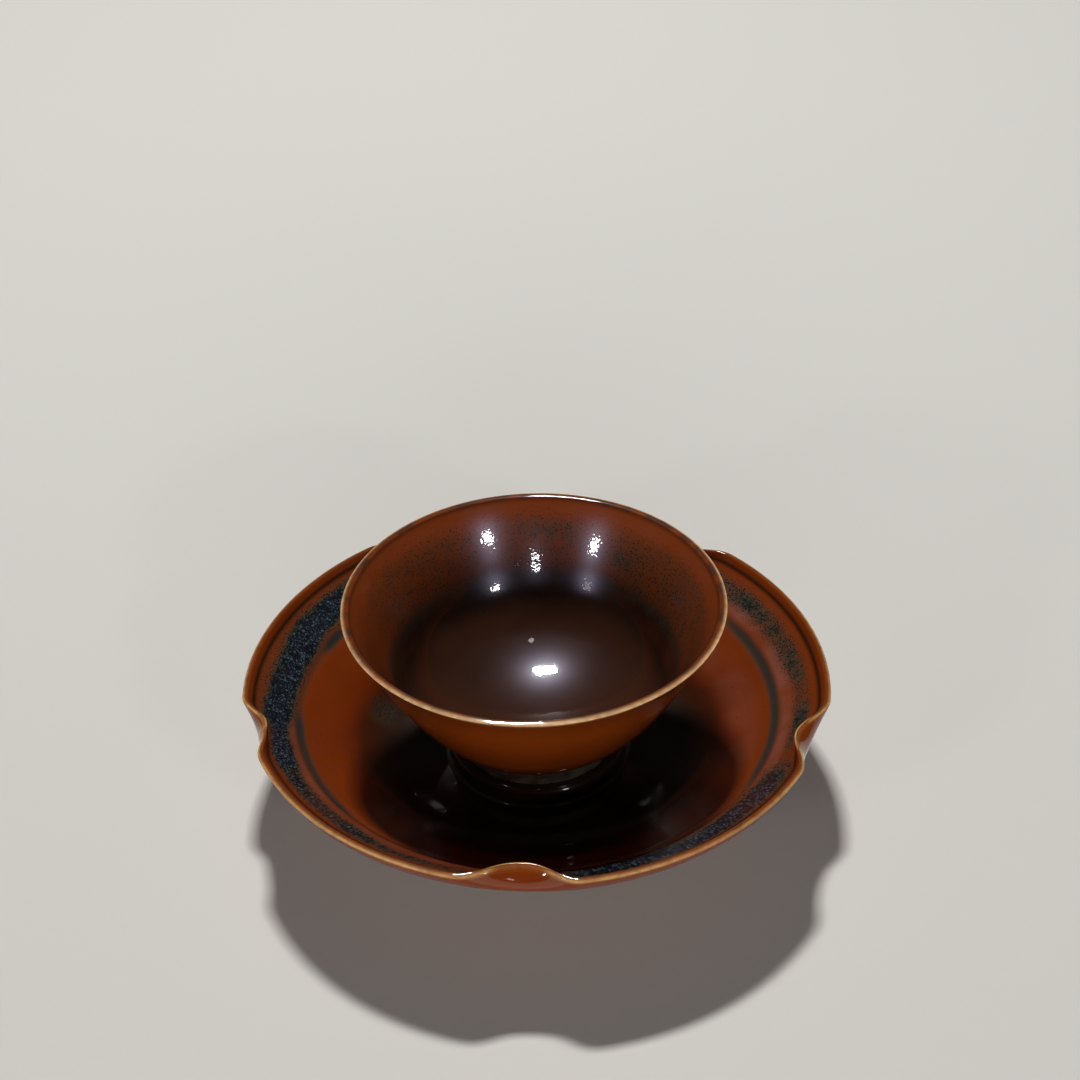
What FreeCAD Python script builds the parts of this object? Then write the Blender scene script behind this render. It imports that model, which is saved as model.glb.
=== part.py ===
import FreeCAD, Part
import enum
import math
import os

import Sketcher

# A tea bowl on its matched cup stand, both thrown in clay and glazed, in millimetres.
# The stand is a deep saucer whose lip is pinched in at five places by hand. Inside it
# a low ring, luted to the floor, holds the bowl's foot, and outside it stands on a
# hollow foot ring. The origin is the middle of that foot, on the table, with +Z up.

Vector = FreeCAD.Vector
UP = Vector(0, 0, 1)
FULL_TURN = 360.0

# Every size that can be set by itself, with what it measures.
SIZES = [
    ("rim_radius", 85.0, "dish: outer edge of the lip, between two notches"),
    ("stand_height", 39.0, "dish: top of the lip above the table"),
    ("lip_width", 1.6, "dish: flat of the lip"),
    ("lip_fall", 0.4, "dish: outer edge of the lip below its inner edge"),
    ("lip_hollow_width", 1.4, "dish: steep strip inside the lip, across"),
    ("lip_hollow_depth", 2.1, "dish: steep strip inside the lip, down"),
    ("floor_height", 11.2, "dish: well floor above the table"),
    ("floor_radius", 36.0, "dish: flat part of the well floor"),
    ("corner_radius", 26.0, "dish: hollow curve from floor to wall"),
    ("dish_wall", 3.8, "dish: thickness of floor and wall"),
    ("shoulder_radius", 15.0, "dish: outer curve that turns the wall up to the lip"),
    ("notch_depth", 7.1, "dish: how far the lip is pinched in"),
    ("notch_half_angle", 11.4, "dish: half of a notch's mouth, in degrees"),
    ("notch_thinning", 0.7, "dish: width that the lip loses at a notch's tip"),
    ("notch_front", -93.5, "dish: where the front notch is, in degrees"),
    ("notch_right", -21.9, "dish: where the right notch is, in degrees"),
    ("notch_back_right", 53.0, "dish: where the right notch at the back is, in degrees"),
    ("notch_back_left", 118.0, "dish: where the left notch at the back is, in degrees"),
    ("notch_left", 193.3, "dish: where the left notch is, in degrees"),
    ("line_radius", 69.3, "dish: turned line round the wall"),
    ("line_width", 1.7, "dish: width of the line"),
    ("line_depth", 0.35, "dish: depth of the line"),
    ("stand_foot_radius", 31.0, "stand's foot: outside, on the table"),
    ("stand_foot_taper", 1.2, "stand's foot: how much narrower it is at its top"),
    ("stand_foot_wall", 4.2, "stand's foot: width of the face on the table"),
    ("stand_foot_bevel", 0.8, "stand's foot: bevel cut on its lower edges"),
    ("ring_height", 5.8, "seat ring: height above the well floor"),
    ("ring_wall", 2.7, "seat ring: width of its upper bead"),
    ("ring_bore_radius", 18.6, "seat ring: open middle"),
    ("ring_ledge_drop", 1.2, "seat ring: ledge for the bowl below its top"),
    ("ring_round", 2.2, "seat ring: rounding of its outer shoulder"),
    ("ring_inner_bevel", 0.4, "seat ring: bevel on its inner edge"),
    ("ring_slip", 1.0, "seat ring: slope of slip where it is luted to the floor"),
    ("seat_clearance", 0.5, "gap round the bowl's foot in the seat ring"),
    ("bowl_foot_radius", 23.2, "bowl's foot: outside, on the seat"),
    ("bowl_foot_flare", 1.2, "bowl's foot: how much wider it is at its top"),
    ("bowl_foot_wall", 3.8, "bowl's foot: width of the face that it stands on"),
    ("bowl_foot_height", 5.4, "bowl's foot: height"),
    ("bowl_foot_bevel", 0.6, "bowl's foot: bevel cut on its lower edges"),
    ("bowl_base_step", 0.5, "bowl: how far its base stands out over the foot"),
    ("bowl_rim_radius", 54.6, "bowl: outer edge of the lip"),
    ("bowl_height", 49.8, "bowl: lip above the seat"),
    ("bowl_lip_width", 2.0, "bowl: flat of the lip"),
    ("bowl_lip_fall", 0.5, "bowl: outer edge of the lip below its inner edge"),
    ("bowl_waist_radius", 48.3, "bowl: where the wall starts to flare"),
    ("bowl_waist_height", 38.4, "bowl: height of that place above the seat"),
    ("bowl_belly_radius", 95.0, "bowl: outer curve of the wall, foot to waist"),
    ("bowl_wall", 3.2, "bowl: thickness of the wall"),
    ("bowl_floor", 4.2, "bowl: thickness of the floor over the foot"),
    ("bowl_well_radius", 38.0, "bowl: hollow curve from floor to wall"),
]

NOTCHES = ("notch_front", "notch_right", "notch_back_right", "notch_back_left", "notch_left")
STEPS_IN_NOTCH = 12
LARGEST_STEP = 4.0
CURVE_STATIONS = 5
SHOULDER_STATIONS = 5
WALL_STATIONS = 5
SAME_PLACE = 0.05


class EdgePoint(enum.IntEnum):
    """How a sketch numbers the points of an edge."""

    START = 1
    END = 2
    CENTRE = 3


def make_sheet(doc):
    """Write the driving sizes into the document's spreadsheet."""
    sheet = doc.addObject("Spreadsheet::Sheet", "Sizes")
    for row, (name, value, meaning) in enumerate(SIZES, start=1):
        sheet.set("A%d" % row, name.replace("_", " "))
        sheet.set("B%d" % row, str(value))
        sheet.set("C%d" % row, meaning)
        sheet.setAlias("B%d" % row, name)
    doc.recompute()
    return sheet


def outline_sketch(body, name):
    """Give a body a sketch in its XZ plane: across is the radius, up is the height."""
    sketch = body.newObject("Sketcher::SketchObject", name)
    plane = [item for item in body.Origin.OriginFeatures if item.Role == "XZ_Plane"][0]
    sketch.AttachmentSupport = [(plane, "")]
    sketch.MapMode = "FlatFace"
    return sketch


def value_of(sketch, expression):
    """Work out an expression on the sheet's cells."""
    found = sketch.evalExpression(expression)
    return float(getattr(found, "Value", found))


def add_line(sketch, start, end):
    """Draw a straight edge between two places, each its radius and its height."""
    first = Vector(start[0], start[1], 0)
    last = Vector(end[0], end[1], 0)
    return sketch.addGeometry(Part.LineSegment(first, last), False)


def add_arc(sketch, start, end, radius, turn):
    """Draw an arc: turn is 1 where it bends left on its way and -1 where it bends right."""
    first = Vector(start[0], start[1], 0)
    last = Vector(end[0], end[1], 0)
    chord = last - first
    middle = (first + last) * 0.5
    left = Vector(-chord.y, chord.x, 0).normalize()
    reach = math.sqrt(max(radius ** 2 - (chord.Length / 2) ** 2, 0.0))
    centre = middle + left * (reach * turn)
    begin = math.atan2(first.y - centre.y, first.x - centre.x)
    finish = math.atan2(last.y - centre.y, last.x - centre.x)
    if turn < 0:
        begin, finish = finish, begin
    circle = Part.Circle(centre, UP, radius)
    return sketch.addGeometry(Part.ArcOfCircle(circle, begin, finish), False)


def smooth_arc(sketch, start, end, heading):
    """Draw the arc that leaves its start in a given direction and runs to its end."""
    left = Vector(-heading[1], heading[0], 0)
    chord = Vector(end[0] - start[0], end[1] - start[1], 0)
    reach = chord.Length ** 2 / (2 * left.dot(chord))
    return add_arc(sketch, start, end, abs(reach), math.copysign(1, reach))


def point_at(sketch, edge, place):
    """Find which end of an edge lies at a place."""
    geometry = sketch.Geometry[edge]
    target = Vector(place[0], place[1], 0)
    if (geometry.StartPoint - target).Length < (geometry.EndPoint - target).Length:
        return EdgePoint.START
    return EdgePoint.END


def pin(sketch, edge, place, across, up):
    """Hold the end of an edge that lies at a place by two expressions on the sheet."""
    end = point_at(sketch, edge, place)
    for kind, expression, number in (("DistanceX", across, place[0]), ("DistanceY", up, place[1])):
        index = sketch.addConstraint(Sketcher.Constraint(kind, -1, 1, edge, end, number))
        sketch.setExpression("Constraints[%d]" % index, expression)


def join(sketch, first, second, place, smooth=False):
    """Make two edges share the end that lies at a place, smoothly or with a corner."""
    kind = "Tangent" if smooth else "Coincident"
    ends_here = (first, point_at(sketch, first, place), second, point_at(sketch, second, place))
    sketch.addConstraint(Sketcher.Constraint(kind, *ends_here))


def set_radius(sketch, edge, expression):
    """Bind an arc's radius to the sheet."""
    number = value_of(sketch, expression)
    index = sketch.addConstraint(Sketcher.Constraint("Radius", edge, number))
    sketch.setExpression("Constraints[%d]" % index, expression)


def polygon(sketch, corners):
    """Draw a closed outline of straight edges through corners given by pairs of expressions."""
    places = [(value_of(sketch, across), value_of(sketch, up)) for across, up in corners]
    edges = []
    for index, place in enumerate(places):
        edges.append(add_line(sketch, place, places[(index + 1) % len(places)]))
    for index, (across, up) in enumerate(corners):
        join(sketch, edges[index - 1], edges[index], places[index])
        pin(sketch, edges[index], places[index], across, up)


def turn_outline(body, sketch, name):
    """Turn an outline round the body's upright axis."""
    turned = body.newObject("PartDesign::Revolution", name)
    turned.Profile = sketch
    turned.ReferenceAxis = (sketch, ["V_Axis"])
    turned.Angle = FULL_TURN
    sketch.Visibility = False
    body.Document.recompute()
    return turned


def circle_edge(feature, radius, height):
    """Find the round edge of a feature that has this radius and height."""
    for index, edge in enumerate(feature.Shape.Edges, start=1):
        if not isinstance(edge.Curve, Part.Circle):
            continue
        if abs(edge.Curve.Radius - radius) < SAME_PLACE and abs(edge.Curve.Center.z - height) < SAME_PLACE:
            return "Edge%d" % index
    raise RuntimeError("no round edge of radius %.2f at height %.2f" % (radius, height))


def round_edge(body, base, radius, height, size_name, name):
    """Round one edge of a body, found by its radius and height, by a size from the sheet."""
    fillet = body.newObject("PartDesign::Fillet", name)
    fillet.Base = (base, [circle_edge(base, radius, height)])
    fillet.setExpression("Radius", "Sizes." + size_name)
    body.Document.recompute()
    return fillet


def bevel_edges(body, base, radii, height, size_name, name):
    """Cut a bevel on edges of a body, found by their radii and height, by a size from the sheet."""
    bevel = body.newObject("PartDesign::Chamfer", name)
    bevel.Base = (base, [circle_edge(base, radius, height) for radius in radii])
    bevel.setExpression("Size", "Sizes." + size_name)
    body.Document.recompute()
    return bevel


def new_body(doc, label, height_expression):
    """Start a turned piece that stands at a height of the assembly."""
    body = doc.addObject("PartDesign::Body", label)
    body.Label = label
    body.setExpression("Placement.Base.z", height_expression)
    doc.recompute()
    return body


class DishSection:
    """The dish's section through the middle of a lobe, worked out from the sheet.

    The well is a flat floor, a hollow curve and a straight wall that runs up to the
    steep strip inside the lip. The underside lies one wall thickness outside, and the
    shoulder curve takes it from the straight wall up to the outer edge of the lip.
    """

    def __init__(self, sheet):
        self.size = {name: float(sheet.get(name)) for name, _, _ in SIZES}
        size = self.size
        self.top = size["stand_height"]
        self.base = size["floor_height"] - size["dish_wall"]
        self.inner_edge = (size["rim_radius"] - size["lip_width"], self.top)
        self.outer_edge = (size["rim_radius"], self.top - size["lip_fall"])
        self.strip_foot = (
            self.inner_edge[0] - size["lip_hollow_width"],
            self.top - size["lip_hollow_depth"],
        )
        self.curve_centre = (size["floor_radius"], size["floor_height"] + size["corner_radius"])
        across = self.strip_foot[0] - self.curve_centre[0]
        up = self.strip_foot[1] - self.curve_centre[1]
        lean = math.asin(size["corner_radius"] / math.hypot(across, up))
        self.slope = math.atan2(up, across) + lean
        self.shoulder_start, self.shoulder_centre = self.find_shoulder()

    def curve_end(self, radius):
        """Where a curve of this radius about the well's centre meets its straight wall."""
        return (
            self.curve_centre[0] + radius * math.sin(self.slope),
            self.curve_centre[1] - radius * math.cos(self.slope),
        )

    def find_shoulder(self):
        """Lay the shoulder curve against the outer wall so that it ends at the lip."""
        radius = self.size["shoulder_radius"]
        start = self.curve_end(self.size["corner_radius"] + self.size["dish_wall"])
        along = (math.cos(self.slope), math.sin(self.slope))
        across = self.outer_edge[0] - start[0]
        up = self.outer_edge[1] - start[1]
        ahead = across * along[0] + up * along[1]
        aside = up * along[0] - across * along[1]
        run = ahead - math.sqrt(aside * (2 * radius - aside))
        foot = (start[0] + run * along[0], start[1] + run * along[1])
        centre = (foot[0] - radius * along[1], foot[1] + radius * along[0])
        return foot, centre

    def outer_radius(self, height):
        """The shoulder's radius at a height."""
        radius = self.size["shoulder_radius"]
        drop = height - self.shoulder_centre[1]
        return self.shoulder_centre[0] + math.sqrt(radius ** 2 - drop ** 2)

    def wall_height(self, radius):
        """The straight wall's height at a radius."""
        return self.strip_foot[1] - (self.strip_foot[0] - radius) * math.tan(self.slope)

    def inner_radius(self, height):
        """The straight wall's radius at a height."""
        return self.strip_foot[0] - (self.strip_foot[1] - height) / math.tan(self.slope)

    def pinch_share(self, height):
        """How much of the pinch a height feels: all at the lip, none below the shoulder."""
        low = self.shoulder_start[1]
        share = (height - low) / (self.outer_edge[1] - low)
        return min(max(share, 0.0), 1.0) ** 2


def notch_angles(section):
    """The notches' angles in degrees, in order round the dish."""
    return sorted(section.size[name] % FULL_TURN for name in NOTCHES)


def rim_angles(section):
    """Angles at which the pinched outlines are measured: close in a notch, wide in a lobe."""
    half = section.size["notch_half_angle"]
    notches = notch_angles(section)
    angles = []
    for index, notch in enumerate(notches):
        following = notches[(index + 1) % len(notches)] + FULL_TURN * (index + 1 == len(notches))
        for step in range(STEPS_IN_NOTCH):
            angles.append(notch - half + 2 * half * step / STEPS_IN_NOTCH)
        lobe = following - notch - 2 * half
        steps = max(int(math.ceil(lobe / LARGEST_STEP)), 1)
        for step in range(steps):
            angles.append(notch + half + lobe * step / steps)
    return angles


def pinch_at(section, angle):
    """The shape of the pinch round the rim: 1 at a notch's tip, 0 outside its mouth."""
    half = section.size["notch_half_angle"]
    total = 0.0
    for notch in notch_angles(section):
        away = abs((angle - notch + FULL_TURN / 2) % FULL_TURN - FULL_TURN / 2)
        if away < half:
            total += math.cos(math.pi * away / (2 * half)) ** 2
    return total


def rim_outline(section, radius, height, depth):
    """A closed smooth outline at one height, pulled in by depth at the notches' tips."""
    angles = rim_angles(section)
    points = []
    for angle in angles:
        reach = radius - depth * pinch_at(section, angle)
        turn = math.radians(angle)
        points.append(Vector(reach * math.cos(turn), reach * math.sin(turn), height))
    places = [math.radians(angle) for angle in angles + [angles[0] + FULL_TURN]]
    curve = Part.BSplineCurve()
    curve.interpolate(Points=points, PeriodicFlag=True, Parameters=places)
    return Part.Wire([curve.toShape()])


def stations(low, high, count):
    """Values that divide a stretch evenly, both ends included."""
    return [low + (high - low) * step / (count - 1) for step in range(count)]


def curve_outlines(section, radius):
    """Round outlines along the hollow curve at a radius about its centre, floor first."""
    centre = section.curve_centre
    outlines = []
    for lean in stations(0.0, section.slope, CURVE_STATIONS):
        across = centre[0] + radius * math.sin(lean)
        outlines.append(rim_outline(section, across, centre[1] - radius * math.cos(lean), 0.0))
    return outlines


def wall_outlines(section, radius_at, top, count):
    """Outlines from the foot of the pinch up to a height, pinched more the higher they lie."""
    depth = section.size["notch_depth"]
    return [
        rim_outline(section, radius_at(height), height, depth * section.pinch_share(height))
        for height in stations(section.shoulder_start[1], top, count)
    ]


def line_outlines(section):
    """The turned line's lower edge, bottom and upper edge, as outlines on the straight wall."""
    half = section.size["line_width"] / 2
    depth = section.size["line_depth"]
    along = (math.cos(section.slope), math.sin(section.slope))
    middle = section.size["line_radius"]
    outlines = []
    for run, sunk in ((-half, 0.0), (0.0, depth), (half, 0.0)):
        radius = middle + run * along[0] + sunk * along[1]
        height = section.wall_height(middle) + run * along[1] - sunk * along[0]
        outlines.append(rim_outline(section, radius, height, 0.0))
    return outlines


def stretched(outlines):
    """A surface over outlines that follow each other: straight over two, smooth over more."""
    return Part.makeLoft(outlines, False, len(outlines) == 2).Faces


def foliate_dish(section):
    """The dish with its five pinched notches and the line turned in its wall."""
    size = section.size
    under = curve_outlines(section, size["corner_radius"] + size["dish_wall"])
    shoulder = wall_outlines(section, section.outer_radius, section.outer_edge[1], SHOULDER_STATIONS)
    lip_depth = size["notch_depth"] - size["notch_thinning"]
    lip = rim_outline(section, section.inner_edge[0], section.inner_edge[1], lip_depth)
    wall = wall_outlines(section, section.inner_radius, section.strip_foot[1], WALL_STATIONS)
    line = line_outlines(section)
    well = curve_outlines(section, size["corner_radius"])
    bands = [
        under,
        [under[-1], shoulder[0]],
        shoulder,
        [shoulder[-1], lip],
        [lip, wall[-1]],
        wall,
        [wall[0], line[2]],
        [line[2], line[1]],
        [line[1], line[0]],
        [line[0], well[-1]],
        well,
    ]
    faces = [Part.Face(under[0]), Part.Face(well[0])]
    for band in bands:
        faces += stretched(band)
    shell = Part.makeShell(faces)
    shell.sewShape()
    solid = Part.makeSolid(shell)
    if solid.Volume < 0:
        solid.reverse()
    return solid


def make_dish(doc, sheet):
    """The dish, whose pinched lip no revolution can make."""
    dish = doc.addObject("Part::Feature", "stand_dish")
    dish.Label = "stand_dish"
    dish.Shape = foliate_dish(DishSection(sheet))
    return dish


def make_stand_foot(doc):
    """The hollow foot ring under the dish, a little narrower at its top."""
    body = new_body(doc, "stand_foot_ring", "0")
    sketch = outline_sketch(body, "stand_foot_outline")
    outside = "Sizes.stand_foot_radius"
    inside = "Sizes.stand_foot_radius - Sizes.stand_foot_wall"
    top = "Sizes.floor_height - Sizes.dish_wall"
    taper = "Sizes.stand_foot_taper"
    polygon(sketch, [
        (inside, "0"),
        (outside, "0"),
        (outside + " - " + taper, top),
        (inside + " - " + taper, top),
    ])
    turned = turn_outline(body, sketch, "stand_foot_turned")
    radii = (value_of(body, outside), value_of(body, inside))
    bevel_edges(body, turned, radii, 0.0, "stand_foot_bevel", "stand_foot_bevels")
    return body


def make_seat_ring(doc):
    """The low ring on the well floor: a bead round a ledge on which the bowl stands."""
    body = new_body(doc, "stand_seat_ring", "Sizes.floor_height")
    sketch = outline_sketch(body, "seat_ring_outline")
    bead_inside = "Sizes.bowl_foot_radius + Sizes.seat_clearance"
    outside = bead_inside + " + Sizes.ring_wall"
    ledge = "Sizes.ring_height - Sizes.ring_ledge_drop"
    polygon(sketch, [
        ("Sizes.ring_bore_radius", "0"),
        (outside + " + Sizes.ring_slip", "0"),
        (outside, "Sizes.ring_slip"),
        (outside, "Sizes.ring_height"),
        (bead_inside, "Sizes.ring_height"),
        (bead_inside, ledge),
        ("Sizes.ring_bore_radius", ledge),
    ])
    turned = turn_outline(body, sketch, "seat_ring_turned")
    top = value_of(body, "Sizes.ring_height")
    shoulder = round_edge(body, turned, value_of(body, outside), top, "ring_round", "seat_ring_shoulder")
    inner = (value_of(body, bead_inside),)
    bevel_edges(body, shoulder, inner, top, "ring_inner_bevel", "seat_ring_inner_bevel")
    return body


SEAT_HEIGHT = "Sizes.floor_height + Sizes.ring_height - Sizes.ring_ledge_drop"


def make_bowl_foot(doc):
    """The bowl's foot ring, which stands on the seat ring's ledge."""
    body = new_body(doc, "bowl_foot_ring", SEAT_HEIGHT)
    sketch = outline_sketch(body, "bowl_foot_outline")
    outside = "Sizes.bowl_foot_radius"
    inside = "Sizes.bowl_foot_radius - Sizes.bowl_foot_wall"
    polygon(sketch, [
        (inside, "0"),
        (outside, "0"),
        (outside + " + Sizes.bowl_foot_flare", "Sizes.bowl_foot_height"),
        (inside, "Sizes.bowl_foot_height"),
    ])
    turned = turn_outline(body, sketch, "bowl_foot_turned")
    radii = (value_of(body, outside), value_of(body, inside))
    bevel_edges(body, turned, radii, 0.0, "bowl_foot_bevel", "bowl_foot_bevels")
    return body


def share_centre(sketch, first, second):
    """Give two arcs one centre."""
    points = (first, EdgePoint.CENTRE, second, EdgePoint.CENTRE)
    sketch.addConstraint(Sketcher.Constraint("Coincident", *points))


def put_on_waist_ray(sketch, belly, inner_belly, inner_waist):
    """End the inner belly on the line from the belly's centre to the waist."""
    arc = sketch.Geometry[belly]
    ray = sketch.addGeometry(Part.LineSegment(arc.Center, arc.EndPoint), True)
    for ray_point, belly_point in ((EdgePoint.START, EdgePoint.CENTRE), (EdgePoint.END, EdgePoint.END)):
        sketch.addConstraint(Sketcher.Constraint("Coincident", ray, ray_point, belly, belly_point))
    end = point_at(sketch, inner_belly, inner_waist)
    sketch.addConstraint(Sketcher.Constraint("PointOnObject", inner_belly, end, ray))


def make_bowl(doc):
    """The bowl's wall and floor, turned in one outline of smooth arcs.

    The outside is a long belly curve from the foot to the waist and a flare from there
    to the lip. The inside follows it one wall thickness away and ends in a flat floor.
    """
    body = new_body(doc, "bowl_wall", SEAT_HEIGHT + " + Sizes.bowl_foot_height")
    sketch = outline_sketch(body, "bowl_outline")
    foot_top = "Sizes.bowl_foot_height"
    base_corner = ("Sizes.bowl_foot_radius + Sizes.bowl_foot_flare + Sizes.bowl_base_step", "0")
    waist = ("Sizes.bowl_waist_radius", "Sizes.bowl_waist_height - " + foot_top)
    outer_lip = ("Sizes.bowl_rim_radius", "Sizes.bowl_height - Sizes.bowl_lip_fall - " + foot_top)
    inner_lip = ("Sizes.bowl_rim_radius - Sizes.bowl_lip_width", "Sizes.bowl_height - " + foot_top)

    def place(pair):
        return value_of(sketch, pair[0]), value_of(sketch, pair[1])

    wall = value_of(sketch, "Sizes.bowl_wall")
    floor = value_of(sketch, "Sizes.bowl_floor")
    belly_radius = value_of(sketch, "Sizes.bowl_belly_radius")
    well_radius = value_of(sketch, "Sizes.bowl_well_radius")
    base_place, waist_place = place(base_corner), place(waist)
    outer_place, inner_place = place(outer_lip), place(inner_lip)

    base = add_line(sketch, (0.0, 0.0), base_place)
    belly = add_arc(sketch, base_place, waist_place, belly_radius, 1)
    belly_centre = sketch.Geometry[belly].Center
    inward = (belly_centre - Vector(waist_place[0], waist_place[1], 0)).normalize()
    flare = smooth_arc(sketch, waist_place, outer_place, (inward.y, -inward.x))
    lip = add_line(sketch, outer_place, inner_place)
    inner_waist = (waist_place[0] + inward.x * wall, waist_place[1] + inward.y * wall)
    inner_flare = smooth_arc(sketch, inner_waist, inner_place, (inward.y, -inward.x))

    rise = belly_centre.y - floor - well_radius
    reach = math.sqrt((belly_radius - wall - well_radius) ** 2 - rise ** 2)
    well_centre = Vector(belly_centre.x + reach, floor + well_radius, 0)
    well_end = well_centre + (well_centre - belly_centre).normalize() * well_radius
    well_top = (well_end.x, well_end.y)
    floor_edge = (well_centre.x, floor)
    floor_middle = (0.0, floor)
    inner_belly = add_arc(sketch, inner_waist, well_top, belly_radius - wall, -1)
    well = add_arc(sketch, well_top, floor_edge, well_radius, -1)
    floor_line = add_line(sketch, floor_edge, floor_middle)
    axis = add_line(sketch, floor_middle, (0.0, 0.0))

    join(sketch, axis, base, (0.0, 0.0))
    pin(sketch, base, (0.0, 0.0), "0", "0")
    join(sketch, base, belly, base_place)
    pin(sketch, base, base_place, *base_corner)
    join(sketch, belly, flare, waist_place, smooth=True)
    pin(sketch, belly, waist_place, *waist)
    set_radius(sketch, belly, "Sizes.bowl_belly_radius")
    join(sketch, flare, lip, outer_place)
    pin(sketch, lip, outer_place, *outer_lip)
    join(sketch, lip, inner_flare, inner_place)
    pin(sketch, lip, inner_place, *inner_lip)
    share_centre(sketch, inner_belly, belly)
    set_radius(sketch, inner_belly, "Sizes.bowl_belly_radius - Sizes.bowl_wall")
    join(sketch, inner_flare, inner_belly, inner_waist, smooth=True)
    put_on_waist_ray(sketch, belly, inner_belly, inner_waist)
    join(sketch, inner_belly, well, well_top, smooth=True)
    set_radius(sketch, well, "Sizes.bowl_well_radius")
    join(sketch, well, floor_line, floor_edge, smooth=True)
    join(sketch, floor_line, axis, floor_middle)
    pin(sketch, axis, floor_middle, "0", "Sizes.bowl_floor")
    sketch.addConstraint(Sketcher.Constraint("Horizontal", floor_line))
    turn_outline(body, sketch, "bowl_turned")
    return body


def check_document(doc, pieces):
    """Stop if any object failed or a piece is empty or not valid."""
    for item in doc.Objects:
        if "Invalid" in item.State or "Error" in item.State:
            raise RuntimeError("%s failed: %s" % (item.Label, item.State))
    for piece in pieces:
        if piece.Shape.isNull() or not piece.Shape.isValid():
            raise RuntimeError("%s is not a valid solid" % piece.Label)
        if len(piece.Shape.Solids) != 1:
            raise RuntimeError("%s holds %d solids" % (piece.Label, len(piece.Shape.Solids)))


def main():
    doc = FreeCAD.newDocument("TenmokuStand")
    sheet = make_sheet(doc)
    pieces = [
        make_dish(doc, sheet),
        make_stand_foot(doc),
        make_seat_ring(doc),
        make_bowl_foot(doc),
        make_bowl(doc),
    ]
    doc.recompute()
    check_document(doc, pieces)
    os.makedirs("parts", exist_ok=True)
    for piece in pieces:
        piece.Shape.exportStep("parts/%s.step" % piece.Label)
        print(piece.Label, "volume %.0f mm3" % piece.Shape.Volume)


main()
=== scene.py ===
"""A russet glazed tea bowl on its pinched cup stand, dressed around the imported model.

Lengths are in millimetres and angles in degrees, anticlockwise from +X seen from above,
unless a name says otherwise. Meshes are made in metres.
"""

from __future__ import annotations

import logging
import math
from dataclasses import dataclass, field
from enum import Enum
from typing import Any, Optional, Sequence

import bpy
import numpy as np
from mathutils import Matrix, Vector


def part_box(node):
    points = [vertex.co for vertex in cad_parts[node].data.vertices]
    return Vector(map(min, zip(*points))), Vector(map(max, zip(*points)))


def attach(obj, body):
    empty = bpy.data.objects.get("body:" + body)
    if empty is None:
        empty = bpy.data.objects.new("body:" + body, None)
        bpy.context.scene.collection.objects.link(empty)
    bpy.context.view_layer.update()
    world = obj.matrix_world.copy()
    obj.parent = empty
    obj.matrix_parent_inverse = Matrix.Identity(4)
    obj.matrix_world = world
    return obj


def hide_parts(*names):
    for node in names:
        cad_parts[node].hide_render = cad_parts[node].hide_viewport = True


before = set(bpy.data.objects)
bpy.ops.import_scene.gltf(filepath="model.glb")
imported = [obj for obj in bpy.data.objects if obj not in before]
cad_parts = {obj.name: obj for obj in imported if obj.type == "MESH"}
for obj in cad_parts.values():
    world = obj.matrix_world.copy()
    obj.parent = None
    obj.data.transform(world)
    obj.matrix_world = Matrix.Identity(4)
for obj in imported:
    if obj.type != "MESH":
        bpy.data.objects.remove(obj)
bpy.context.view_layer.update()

MM = 0.001
FULL_TURN = 360.0
# Rows closer together than this, in millimetres, count as one.
SAME_PLACE = 1e-4
# Steps in a full turn of the small rings.
RING_COLUMNS = 360
# What a mesh tells its glaze from place to place, kept as point attributes.
LAYERS = (
    "tone", "thin", "face", "strip", "pool", "spots", "blush", "grain", "sheen", "dull", "run")

log = logging.getLogger("stand")

Place = tuple[float, float]
Colour = tuple[float, float, float, float]
Array = np.ndarray


def linear(hex_code: str) -> Colour:
    """Turn an sRGB hex colour into the linear colour that the shaders use.

    Args:
        hex_code: six hex digits after a hash sign.

    Returns:
        Linear red, green, blue and an alpha of one.
    """
    channels = [int(hex_code[place:place + 2], 16) / 255 for place in (1, 3, 5)]
    red, green, blue = (
        c / 12.92 if c <= 0.04045 else ((c + 0.055) / 1.055) ** 2.4 for c in channels)
    return (red, green, blue, 1.0)


def eased(value: Array, start: float, end: float) -> Array:
    """Rise smoothly from 0 at start to 1 at end, or fall if end is below start.

    Args:
        value: the places to measure at.
        start: where the rise begins.
        end: where it is complete.

    Returns:
        Shares from 0 to 1.
    """
    share = np.clip((value - start) / (end - start), 0.0, 1.0)
    return share * share * (3.0 - 2.0 * share)


def hump(value: Array, centre: float, width: float) -> Array:
    """A soft round line of a given width about a centre, as a share from 0 to 1."""
    return np.exp(-(((value - centre) / (width / 2)) ** 2))


def angle_between(angles: Array, centre: float) -> Array:
    """Signed angles from a centre, in degrees between -180 and 180."""
    return (angles - centre + FULL_TURN / 2) % FULL_TURN - FULL_TURN / 2


class Side(Enum):
    """Which way a section's arc bends on its way: to the left or to the right."""

    STRAIGHT = 0
    LEFT = 1
    RIGHT = -1


@dataclass
class Run:
    """One stretch of a section, straight or an arc, from a place to the next run's start.

    Attributes:
        start: radius and height where the run starts.
        side: which way an arc bends.
        radius: the arc's radius.
        step: the longest distance between two sampled rows.
        soft: how far back from the run's end its corner is rounded.
        name: what the corner at the run's end is called.
    """

    start: Place
    side: Side = Side.STRAIGHT
    radius: float = 0.0
    step: float = 1.2
    soft: float = 0.0
    name: str = ""


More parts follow.
